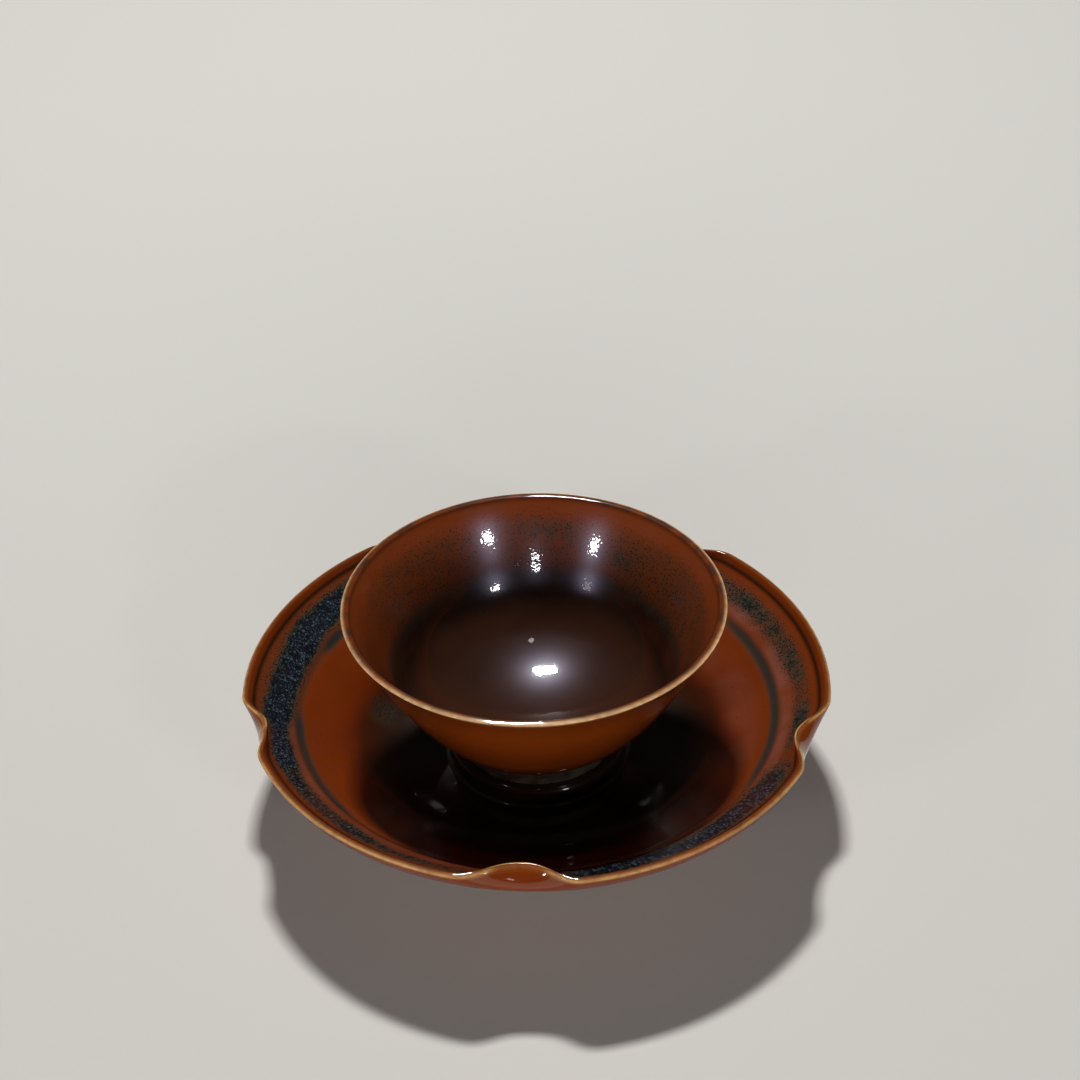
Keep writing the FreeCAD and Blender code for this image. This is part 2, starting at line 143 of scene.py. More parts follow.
@dataclass
class Section:
    """An outline of runs in the half plane of radius and height, sampled row by row.

    Attributes:
        runs: the stretches in order.
        end: where the last run ends.
        corner_steps: rows in each rounded corner.
    """

    runs: list[Run]
    end: Place
    corner_steps: int = 7
    radii: Array = field(init=False)
    heights: Array = field(init=False)
    travelled: Array = field(init=False)
    corners: dict[str, float] = field(init=False, default_factory=dict)

    def __post_init__(self) -> None:
        """Sample the outline and note how far along it each named corner lies."""
        ends = [run.start for run in self.runs[1:]] + [self.end]
        places: list[Place] = []
        distance: list[float] = []
        gone = 0.0
        lead = 0.0
        for run, end in zip(self.runs, ends):
            length = self.length_of(run, end)
            count = max(int(math.ceil((length - lead - run.soft) / run.step)), 1)
            for share in np.linspace(lead / length, 1.0 - run.soft / length, count + 1):
                places.append(self.place_on(run, end, float(share)))
                distance.append(gone + length * float(share))
            gone += length
            if run.name:
                self.corners[run.name] = gone
            lead = run.soft
            if run.soft:
                self.round_corner(places, distance, run, end, ends)
        self.keep(places, distance)

    @staticmethod
    def centre_of(run: Run, end: Place) -> Place:
        """Where an arc's centre lies."""
        across, up = end[0] - run.start[0], end[1] - run.start[1]
        chord = math.hypot(across, up)
        reach = math.sqrt(max(run.radius ** 2 - chord ** 2 / 4, 0.0)) * run.side.value
        middle = ((run.start[0] + end[0]) / 2, (run.start[1] + end[1]) / 2)
        return (middle[0] - up / chord * reach, middle[1] + across / chord * reach)

    @staticmethod
    def length_of(run: Run, end: Place) -> float:
        """How long a run is."""
        chord = math.hypot(end[0] - run.start[0], end[1] - run.start[1])
        if run.side is Side.STRAIGHT:
            return chord
        return 2 * run.radius * math.asin(min(chord / (2 * run.radius), 1.0))

    def place_on(self, run: Run, end: Place, share: float) -> Place:
        """The place at a share of the way along a run."""
        if run.side is Side.STRAIGHT:
            return (
                run.start[0] + (end[0] - run.start[0]) * share,
                run.start[1] + (end[1] - run.start[1]) * share,
            )
        centre = self.centre_of(run, end)
        begin = math.atan2(run.start[1] - centre[1], run.start[0] - centre[0])
        turn = self.length_of(run, end) / run.radius * run.side.value
        angle = begin + turn * share
        return (
            centre[0] + run.radius * math.cos(angle),
            centre[1] + run.radius * math.sin(angle),
        )

    def round_corner(
        self,
        places: list[Place],
        distance: list[float],
        run: Run,
        corner: Place,
        ends: list[Place],
    ) -> None:
        """Add rows that round the corner between a run and the next one.

        Args:
            places: the sampled places so far, added to here.
            distance: how far along the section each place lies, added to here.
            run: the run that ends at the corner.
            corner: where the corner is.
            ends: where every run ends.
        """
        index = self.runs.index(run) + 1
        following = self.runs[index]
        share = run.soft / self.length_of(following, ends[index])
        after = self.place_on(following, ends[index], share)
        before = places[-1]
        here = distance[-1]
        for step in range(1, self.corner_steps):
            t = step / self.corner_steps
            weights = ((1 - t) ** 2, 2 * t * (1 - t), t ** 2)
            points = (before, corner, after)
            places.append((
                sum(w * p[0] for w, p in zip(weights, points)),
                sum(w * p[1] for w, p in zip(weights, points)),
            ))
            distance.append(here + 2 * run.soft * t)

    def keep(self, places: Sequence[Place], distance: Sequence[float]) -> None:
        """Keep the sampled rows, without those that lie on the row before."""
        kept = [0]
        for index in range(1, len(places)):
            if math.dist(places[index], places[kept[-1]]) > SAME_PLACE:
                kept.append(index)
        self.radii = np.array([places[index][0] for index in kept])
        self.heights = np.array([places[index][1] for index in kept])
        self.travelled = np.array([distance[index] for index in kept])


@dataclass
class Turned:
    """Rows of a section carried round the axis as one closed mesh.

    Attributes:
        section: the sampled outline.
        columns: how many steps there are in a full turn.
        closed: True where the section's end joins its start, as on a ring.
    """

    section: Section
    columns: int
    closed: bool = False

    def angles(self) -> Array:
        """The columns' angles in degrees."""
        return np.arange(self.columns) * FULL_TURN / self.columns

    def grid(self) -> tuple[Array, Array]:
        """The section's radius and height for each row and column."""
        rows = self.section.radii[:, None], self.section.heights[:, None]
        radii, heights = (np.tile(row, (1, self.columns)) for row in rows)
        return radii, heights

    def mesh(
        self, name: str, radii: Array, heights: Array, layers: dict[str, Array]
    ) -> bpy.types.Object:
        """Make the mesh from a radius and a height for each row and column.

        Args:
            name: the new object's name.
            radii: rows by columns, in millimetres.
            heights: rows by columns, in millimetres.
            layers: named values that spread over the rows and columns, kept as point
                attributes.

        Returns:
            The object, linked to the scene and smooth shaded.
        """
        turn = np.radians(self.angles())
        points = np.stack([radii * np.cos(turn), radii * np.sin(turn), heights], axis=-1) * MM
        last = len(points) - 1
        capped = [row for row in (0, last) if not self.closed and np.allclose(radii[row], 0.0)]
        body = [row for row in range(last + 1) if row not in capped]
        numbers = {row: place * self.columns for place, row in enumerate(body)}
        vertices = points[body].reshape(-1, 3)
        faces: list[tuple[int, ...]] = []
        pairs = list(zip(body, body[1:])) + ([(body[-1], body[0])] if self.closed else [])
        column = np.arange(self.columns)
        following = (column + 1) % self.columns
        for low, high in pairs:
            first, second = numbers[low], numbers[high]
            ring = (first + column, first + following, second + following, second + column)
            faces += [tuple(quad) for quad in np.stack(ring, axis=1).tolist()]
        tops = []
        for row in capped:
            peak = len(vertices) + len(tops)
            tops.append(points[row].mean(axis=0))
            edge = numbers[body[0] if row == 0 else body[-1]]
            for here, there in zip(column.tolist(), following.tolist()):
                pair = (edge + there, edge + here) if row == 0 else (edge + here, edge + there)
                faces.append((*pair, peak))
        if tops:
            vertices = np.concatenate([vertices, np.array(tops)])
        mesh = bpy.data.meshes.new(name)
        mesh.from_pydata(vertices.tolist(), [], faces)
        for layer, spread in layers.items():
            values = np.broadcast_to(spread, radii.shape)
            flat = values[body].reshape(-1)
            ends = [values[row].mean() for row in capped]
            attribute = mesh.attributes.new(layer, "FLOAT", "POINT")
            attribute.data.foreach_set("value", np.concatenate([flat, ends]).astype(np.float32))
        mesh.polygons.foreach_set("use_smooth", [True] * len(mesh.polygons))
        mesh.update()
        made = bpy.data.objects.new(name, mesh)
        bpy.context.scene.collection.objects.link(made)
        return made


def add(tree: bpy.types.NodeTree, kind: str, inputs: Any = (), **settings: Any) -> Any:
    """Add a shader node with its settings, its input values and its links.

    Args:
        tree: the node tree to add to.
        kind: the last words of the node's type, such as Math.
        inputs: what goes into the sockets, in their order or by name or number. It is a
            value, the socket that feeds it, or a node for that node's first output in use.
        settings: the node's own settings. stops holds a colour ramp's places and colours.

    Returns:
        The new node.
    """
    node = tree.nodes.new("ShaderNode" + kind)
    stops = settings.pop("stops", ())
    for name, value in settings.items():
        setattr(node, name, value)
    for socket, value in inputs.items() if isinstance(inputs, dict) else enumerate(inputs):
        if isinstance(value, bpy.types.Node):
            value = next(output for output in value.outputs if output.enabled)
        if isinstance(value, bpy.types.NodeSocket):
            tree.links.new(value, node.inputs[socket])
        else:
            node.inputs[socket].default_value = value
    for index, (place, hex_code) in enumerate(stops):
        elements = node.color_ramp.elements
        element = elements[index] if index < len(elements) else elements.new(1.0)
        element.position = place
        element.color = linear(hex_code)
    return node


def blank(name: str) -> tuple[bpy.types.Material, bpy.types.NodeTree, Any]:
    """Start a material.

    Args:
        name: the material's name.

    Returns:
        The material, its empty node tree, and the places on the object's own axes.
    """
    made = bpy.data.materials.new(name)
    made.use_nodes = True
    tree = made.node_tree
    tree.nodes.clear()
    return made, tree, add(tree, "TexCoord").outputs["Object"]


def pattern(place: Any, width: float, **more: float) -> dict[str, Any]:
    """A pattern's inputs: its places, and its scale from a real width in millimetres."""
    return {"Vector": place, "Scale": 1 / (width * MM), **more}


@dataclass(frozen=True)
class Gloss:
    """How a fired glaze shines: a clear skin over a crystalline body.

    Attributes:
        skin_ior: refraction of the glassy skin, typical of a stoneware glaze.
        skin_roughness: roughness of the skin.
        body_roughness: roughness of the crystals under the skin, which makes the wide sheen.
        body_level: strength of the crystals' own reflection.
        sheen_tint: colour of that wide sheen.
        wave_width: width of the slow dimples of the skin, in millimetres.
        wave_height: their height.
        grit_width: width of the finest unevenness, which breaks up a highlight's edge.
        grit_height: its height.
    """

    skin_ior: float = 1.5
    skin_roughness: float = 0.045
    body_roughness: float = 0.34
    body_level: float = 0.42
    sheen_tint: str = "#c9b9c0"
    wave_width: float = 9.0
    wave_height: float = 0.02
    # Real pitting is some 0.3 mm across, and drawn coarser so that it shows.
    grit_width: float = 0.85
    grit_height: float = 0.019


@dataclass(frozen=True)
class IronGlaze:
    """Persimmon glaze: iron-saturated stoneware glaze, poured, fired to a glassy skin.

    It gives the eye a warm russet body, pale gold where it runs thin over an edge, olive
    black where it pools, and blue-black iron crystals where the bubbles broke.

    Attributes:
        name: the material's name.
        tones: colour stops along the layer tone, from 0 to 1.
        thin_colour: where the glaze runs thin over an edge, and the painted highlight along a lip's
            front.
        face_colour: on the lip's flat face.
        strip_colour: in the steep strip inside the lip.
        pool_colour: where it pools in the turned line.
        haze_colour: the grey green veil where crystals are only beginning.
        spot_colour: the iron crystals.
        pool_core_colour: the violet brown core of a pool.
        fleck_colour: the pale flecks between crowded crystals.
        fringe_colour: the flecks at a crowd's fringe.
        grit_colour: a fused grain of kiln grit.
        blush_colour: the pale pink clouding over the russet.
        spot_width: size of a crystal in millimetres.
        spot_reach: how far the crystals fill their cells where they are most crowded.
        fleck_width: size of a fleck.
        run_radius: radius about which crystals are drawn out down the wall.
        veil_start: how crowded the crystals are where their grey green veil starts.
        wear_width: width of the places where a thin edge is rubbed, in millimetres.
        blotch_width: width of the blotches on the lip's face.
        cloud_width: width of the slow clouds in the body colour.
        blush_width: width of the pink clouding.
        crowd_width: width of the knots in which crystals crowd.
        ragged_width: width of the finest raggedness of flecks and grit.
        scale_wander: how far that raggedness moves a fleck's edge, in metres.
        pinhole_spacing: size of the cells of which a few hold a pinhole.
        kiln_grit: where a pale grain of kiln grit has fused in, if one has.
        gloss: how it shines.
    """

    name: str
    tones: tuple[tuple[float, str], ...]
    thin_colour: str = "#dcaa6c"
    face_colour: str = "#35271a"
    strip_colour: str = "#1d130a"
    pool_colour: str = "#26261c"
    haze_colour: str = "#38372b"
    pool_core_colour: str = "#2b2328"
    spot_colour: str = "#0a0e14"
    fleck_colour: str = "#485563"
    fringe_colour: str = "#4b5140"
    grit_colour: str = "#c9bfb2"
    blush_colour: str = "#85483a"
    # Real crystals are 0.2 to 0.5 mm across, and drawn coarser so that they show.
    spot_width: float = 0.7
    spot_reach: float = 0.66
    fleck_width: float = 0.9
    run_radius: float = 76.0
    veil_start: float = 0.03
    wear_width: float = 2.4
    blotch_width: float = 6.0
    cloud_width: float = 26.0
    blush_width: float = 14.0
    crowd_width: float = 3.2
    ragged_width: float = 0.9
    scale_wander: float = 0.0005
    pinhole_spacing: float = 1.9
    kiln_grit: Optional[tuple[float, float, float]] = None
    gloss: Gloss = Gloss()

    def material(self) -> bpy.types.Material:
        """Build the node material."""
        made, tree, place = blank(self.name)
        layer: dict[str, Any] = {
            name: add(tree, "Attribute", attribute_name=name).outputs["Fac"] for name in LAYERS}
        colour = self.clouded(tree, place, layer["tone"], layer["blush"])
        run_down = self.drawn_out(tree, place, layer["run"])
        colour = self.spotted(tree, run_down, layer["spots"], colour)
        colour = self.pinholed(tree, place, colour)
        for name, width, low, high, least in (
            ("thin", self.wear_width, 0.32, 0.6, 0.62),
            ("face", self.blotch_width, 0.42, 0.58, 0.25),
        ):
            patchy = add(tree, "TexNoise", pattern(place, width, Detail=3.0))
            share = add(tree, "MapRange", (patchy, low, high, least))
            layer[name] = add(tree, "Math", (layer[name], share), operation="MULTIPLY")
        layer["core"] = add(tree, "MapRange", (layer["pool"], 0.45, 0.9, 0.0, 0.4))
        for name, hex_code in (
            ("pool", self.pool_colour), ("core", self.pool_core_colour),
            ("strip", self.strip_colour), ("face", self.face_colour), ("thin", self.thin_colour),
        ):
            colour = add(tree, "Mix", {0: layer[name], 6: colour, 7: linear(hex_code)},
                         data_type="RGBA")
        if self.kiln_grit:
            colour = self.gritted(tree, place, colour)
        level = add(tree, "Math", (layer["sheen"], self.gloss.body_level), operation="MULTIPLY")
        shine = add(tree, "BsdfPrincipled", {
            "Base Color": colour,
            "Roughness": self.gloss.body_roughness,
            "IOR": self.gloss.skin_ior,
            "Specular IOR Level": level,
            "Specular Tint": linear(self.gloss.sheen_tint),
            "Coat Weight": add(tree, "Math", (1.0, layer["dull"]), operation="SUBTRACT"),
            "Coat Roughness": self.gloss.skin_roughness,
            "Coat IOR": self.gloss.skin_ior,
            "Normal": self.dimpled(tree, place),
            "Coat Normal": self.dimpled(tree, place, layer["grain"]),
        })
        add(tree, "OutputMaterial", {"Surface": shine})
        return made

    def clouded(self, tree: bpy.types.NodeTree, place: Any, tone: Any, blush: Any) -> Any:
        """Lay the body colour: tone stops, moved by slow clouds, with a pink blush.

        Args:
            tree: the material's node tree.
            place: the places on the object.
            tone: where along the stops each place is.
            blush: how much pink clouding it has.

        Returns:
            The node that gives the colour.
        """
        clouds = add(tree, "TexNoise", pattern(place, self.cloud_width, Detail=3.0, Roughness=0.55))
        shift = add(tree, "MapRange", (clouds, 0.3, 0.7, -0.09, 0.09))
        moved = add(tree, "Math", (tone, shift), operation="ADD", use_clamp=True)
        body = add(tree, "ValToRGB", (moved,), stops=self.tones)
        haze = add(tree, "TexNoise", pattern(place, self.blush_width, Detail=4.0, Distortion=0.6))
        share = add(tree, "MapRange", (haze, 0.35, 0.7, 0.25))
        amount = add(tree, "Math", (share, blush), operation="MULTIPLY")
        return add(tree, "Mix", {0: amount, 6: body, 7: linear(self.blush_colour)},
                   data_type="RGBA")

    def drawn_out(self, tree: bpy.types.NodeTree, place: Any, run: Any) -> Any:
        """Draw places together along the wall's slope, so that a pattern on them runs down it.

        Args:
            tree: the material's node tree.
            place: the places on the object.
            run: by how much they are drawn together, from 0 to 1.

        Returns:
            The node that gives the new places.
        """
        apart = add(tree, "SeparateXYZ", (place,))
        flat = add(tree, "CombineXYZ", (apart.outputs["X"], apart.outputs["Y"]))
        radius = add(tree, "VectorMath", (flat,), operation="LENGTH")
        ratio = add(tree, "Math", (self.run_radius * MM, radius), operation="DIVIDE")
        stretch = add(tree, "Mix", {0: run, 2: 1.0, 3: ratio})
        kept = add(tree, "Math", (1.0, run), operation="SUBTRACT")
        height = add(tree, "Math", (apart.outputs["Z"], kept), operation="MULTIPLY")
        spread = add(tree, "VectorMath", {0: flat, "Scale": stretch}, operation="SCALE")
        lifted = add(tree, "CombineXYZ", {"Z": height})
        return add(tree, "VectorMath", (spread, lifted), operation="ADD")

    def spotted(self, tree: bpy.types.NodeTree, place: Any, density: Any, colour: Any) -> Any:
        """Grow iron crystals: a grey veil, fine dots, and blue grey scales where crowded.

        Args:
            tree: the material's node tree.
            place: the places on the object.
            density: how crowded the crystals are.
            colour: what they lie on.

        Returns:
            The node that gives the colour.
        """
        patches = add(tree, "TexNoise", pattern(place, self.crowd_width, Detail=4.0))
        swing = add(tree, "MapRange", (patches, 0.3, 0.7, 0.75, 1.25))
        crowd = add(tree, "Math", (density, swing), operation="MULTIPLY")
        for low, high, most, hex_code in (
            (self.veil_start, 0.5, 0.85, self.haze_colour), (0.42, 0.7, 1.0, self.spot_colour),
        ):
            veil = add(tree, "MapRange", (crowd, low, high, 0.0, most))
            colour = add(tree, "Mix", {0: veil, 6: colour, 7: linear(hex_code)},
                         data_type="RGBA")
        cells = add(tree, "TexVoronoi", pattern(place, self.spot_width))
        reach = add(tree, "MapRange", (crowd, 0.0, 0.8, 0.12, self.spot_reach))
        inside = add(tree, "Math", (reach, cells), operation="SUBTRACT")
        dot = add(tree, "MapRange", (inside, -0.05, 0.05))
        begun = add(tree, "MapRange", (crowd, 0.015, 0.06))
        dots = add(tree, "Math", (dot, begun), operation="MULTIPLY")
        colour = add(tree, "Mix", {0: dots, 6: colour, 7: linear(self.spot_colour)},
                     data_type="RGBA")
        wavy = add(tree, "TexNoise", pattern(place, self.ragged_width, Detail=1.0))
        moved = add(tree, "Mix", {0: self.scale_wander, 4: place, 5: wavy.outputs["Color"]},
                    data_type="VECTOR")
        scale = pattern(moved, self.fleck_width)
        scales = add(tree, "TexVoronoi", scale)
        gaps = add(tree, "TexVoronoi", scale, feature="DISTANCE_TO_EDGE")
        lot = add(tree, "SeparateColor", (scales.outputs["Color"],))
        clear = add(tree, "MapRange", (gaps, 0.07, 0.24))
        pale = add(tree, "MapRange", (lot, 0.1, 0.9, 0.12))
        fleck = add(tree, "Math", (clear, pale), operation="MULTIPLY")
        deep = add(tree, "MapRange", (crowd, 0.5, 0.95))
        over = add(tree, "Mix", {
            0: deep, 6: linear(self.fringe_colour), 7: linear(self.fleck_colour)},
            data_type="RGBA")
        grown = add(tree, "MapRange", (crowd, 0.34, 0.6))
        shown = add(tree, "Math", (fleck, grown), operation="MULTIPLY")
        return add(tree, "Mix", {0: shown, 6: colour, 7: over}, data_type="RGBA")

    def gritted(self, tree: bpy.types.NodeTree, place: Any, colour: Any) -> Any:
        """Fuse one pale grain of kiln grit, a millimetre and a half wide, into a colour.

        Args:
            tree: the material's node tree.
            place: the places on the object.
            colour: what it lies on.

        Returns:
            The node that gives the colour.
        """
        ragged = add(tree, "TexNoise", pattern(place, self.ragged_width, Detail=2.0))
        spot = [part * MM for part in self.kiln_grit]
        away = add(tree, "VectorMath", (place, spot), operation="DISTANCE")
        uneven = add(tree, "Math", (ragged, 1.6 * MM, away), operation="MULTIPLY_ADD")
        share = add(tree, "MapRange", (uneven, 1.75 * MM, 1.45 * MM, 0.0, 0.9))
        return add(tree, "Mix", {0: share, 6: colour, 7: linear(self.grit_colour)},
                   data_type="RGBA")

    def pinholed(self, tree: bpy.types.NodeTree, place: Any, colour: Any) -> Any:
        """Strew stray iron specks and pinholes, far apart, over a colour.

        Args:
            tree: the material's node tree.
            place: the places on the object.
            colour: what they lie on.

        Returns:
            The node that gives the colour.
        """
        cells = add(tree, "TexVoronoi", pattern(place, self.pinhole_spacing))
        lot = add(tree, "SeparateColor", (cells.outputs["Color"],))
        chosen = add(tree, "Math", (lot, 0.86), operation="GREATER_THAN")
        dot = add(tree, "MapRange", (cells, 0.13, 0.06, 0.0, 0.8))
        shown = add(tree, "Math", (dot, chosen), operation="MULTIPLY")
        return add(tree, "Mix", {0: shown, 6: colour, 7: linear(self.spot_colour)},
                   data_type="RGBA")

    def dimpled(self, tree: bpy.types.NodeTree, place: Any, grain: Any = None) -> Any:
        """Roughen the skin with slow dimples, and where grain says so with a close pitting.

        Args:
            tree: the material's node tree.
            place: the places on the object.
            grain: the strength of the pitting, or None for a skin without it.

        Returns:
            The node that gives the normal.
        """
        gloss = self.gloss
        waves = add(tree, "TexNoise", pattern(place, gloss.wave_width, Detail=1.0))
        bumped = add(tree, "Bump", {
            "Height": waves, "Strength": 1.0, "Distance": gloss.wave_height * MM})
        if grain:
            grit = add(tree, "TexNoise", pattern(place, gloss.grit_width, Detail=0.0))
            bumped = add(tree, "Bump", {
                "Height": grit, "Strength": grain, "Distance": gloss.grit_height * MM,
                "Normal": bumped})
        return bumped


@dataclass(frozen=True)
class TurnedClay:
    """Iron-bearing stoneware, turned on the wheel and brushed with a thin ash wash.

    It gives the eye a dull olive grey with fine turning lines and sandy grit.

    Attributes:
        name: the material's name.
        wash_colour: the thin wash.
        clay_colour: the clay where the wash is worn through.
        grit_colour: pale sand in the clay.
        roughness: how matt the bare clay is.
        line_width: spacing of the turning lines, in millimetres.
        line_height: their height.
        grit_width: spacing of the sand grains.
        wear_width: width of the places where the wash is worn.
        wear_height: their unevenness.
    """

    name: str
    wash_colour: str = "#5e5444"
    clay_colour: str = "#3a2a20"
    grit_colour: str = "#9a8d78"
    roughness: float = 0.55
    # Real turning lines lie 0.4 mm apart and the sand is finer: both are drawn coarser.
    line_width: float = 0.7
    line_height: float = 0.03
    grit_width: float = 0.8
    wear_width: float = 6.0
    wear_height: float = 0.12

    def material(self) -> bpy.types.Material:
        """Build the node material."""
        made, tree, place = blank(self.name)
        wear = add(tree, "TexNoise", pattern(place, self.wear_width, Detail=5.0))
        worn = add(tree, "MapRange", (wear, 0.42, 0.62))
        clay = add(tree, "Mix", {
            0: worn, 6: linear(self.wash_colour), 7: linear(self.clay_colour)},
            data_type="RGBA")
        sand = add(tree, "TexVoronoi", pattern(place, self.grit_width))
        grain = add(tree, "MapRange", (sand, 0.2, 0.08, 0.0, 0.6))
        colour = add(tree, "Mix", {0: grain, 6: clay, 7: linear(self.grit_colour)},
                     data_type="RGBA")
        axes = add(tree, "SeparateXYZ", (place,))
        turns = math.tau / (self.line_width * MM)
        height = add(tree, "Math", (axes.outputs["Z"], turns), operation="MULTIPLY")
        lines = add(tree, "Math", (height,), operation="SINE")
        ridges = add(tree, "Bump", {
            "Height": lines, "Strength": 0.35, "Distance": self.line_height * MM})
        rough = add(tree, "Bump", {
            "Height": wear, "Strength": 0.6, "Distance": self.wear_height * MM,
            "Normal": ridges})
        shine = add(tree, "BsdfPrincipled", {
            "Base Color": colour, "Roughness": self.roughness, "Normal": rough})
        add(tree, "OutputMaterial", {"Surface": shine})
        return made


@dataclass(frozen=True)
class PaperSweep:
    """Matt photographic paper: pale, with a faint tooth.

    Attributes:
        name: the material's name.
        colour: the paper.
        roughness: how matt it is.
        tooth_width: width of its tooth, in millimetres.
        tooth_height: the tooth's height.
    """

    name: str = "pale_paper_floor"
    colour: str = "#d8d5cf"
    roughness: float = 0.9
    # Real tooth is a fifth of a millimetre wide, and drawn coarser so that it shows.
    tooth_width: float = 1.5
    tooth_height: float = 0.1

    def material(self) -> bpy.types.Material:
        """Build the node material."""
        made, tree, place = blank(self.name)
        tooth = add(tree, "TexNoise", pattern(place, self.tooth_width, Detail=3.0))
        ridges = add(tree, "Bump", {
            "Height": tooth, "Strength": 0.2, "Distance": self.tooth_height * MM})
        shine = add(tree, "BsdfPrincipled", {
            "Base Color": linear(self.colour), "Roughness": self.roughness,
            "Specular IOR Level": 0.2, "Normal": ridges})
        add(tree, "OutputMaterial", {"Surface": shine})
        return made


def dressed(
    made: bpy.types.Object, finish: Any, body: str, slot: str, *nodes: str
) -> bpy.types.Object:
    """Give a piece its finish and its body, and hide the CAD nodes that it stands for.

    Args:
        made: the piece.
        finish: a finish with a material method.
        body: the CAD body that it rides on.
        slot: the record's material slot; not used.
        nodes: the CAD nodes that it replaces.

    Returns:
        The piece.
    """
    made.data.materials.append(finish.material())
    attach(made, body)
    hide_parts(*nodes)
    log.info("%s: %d faces on %s", made.name, len(made.data.polygons), body)
    return made


@dataclass(frozen=True)
class Notch:
    """A place where the wet lip was pinched in with a fingertip.

    Attributes:
        angle: where its tip is.
        clockwise: half of its mouth on the clockwise side, in degrees.
        anticlockwise: half of its mouth on the other side.
        depth: how far the lip is pinched in.
        lobe: how far inside the full radius the lobe stands that follows it anticlockwise.
        blunt: 1 for a smooth wave, more for a flatter tip with steeper flanks.
    """

    angle: float
    clockwise: float
    anticlockwise: float
    depth: float
    lobe: float = 0.0
    blunt: float = 1.0

    def share(self, angles: Array) -> Array:
        """The pinch round the rim: 1 at the tip, 0 outside the mouth."""
        away = angle_between(angles, self.angle)
        half = np.where(away < 0, self.clockwise, self.anticlockwise)
        reach = np.clip(np.abs(away) / half, 0.0, 1.0) ** self.blunt
        return np.cos(np.pi / 2 * reach) ** 2


@dataclass(frozen=True)
class SpotPatch:
    """A stretch of the wall where iron crystals came out.

    Attributes:
        start: angle where the patch starts.
        end: angle where it ends.
        fade: how many degrees it takes to fade out at each end.
        middle: radius of its middle.
        width: its width across the wall.
        strength: how crowded the crystals are, from 0 to 1.
    """

    start: float
    end: float
    fade: float
    middle: float
    width: float
    strength: float

    def density(self, radii: Array, angles: Array) -> Array:
        """How crowded the crystals are at each radius and angle."""
        half = (self.end - self.start) / 2
        away = np.abs(angle_between(angles, self.start + half))
        along = eased(away, half + self.fade, half - self.fade)
        across = np.exp(-np.abs((radii - self.middle) / (self.width / 2)) ** 3)
        return self.strength * along * across


def crowded(patches: Sequence[SpotPatch], radii: Array, angles: Array) -> Array:
    """The densities of several patches together."""
    return sum(patch.density(radii, angles) for patch in patches)


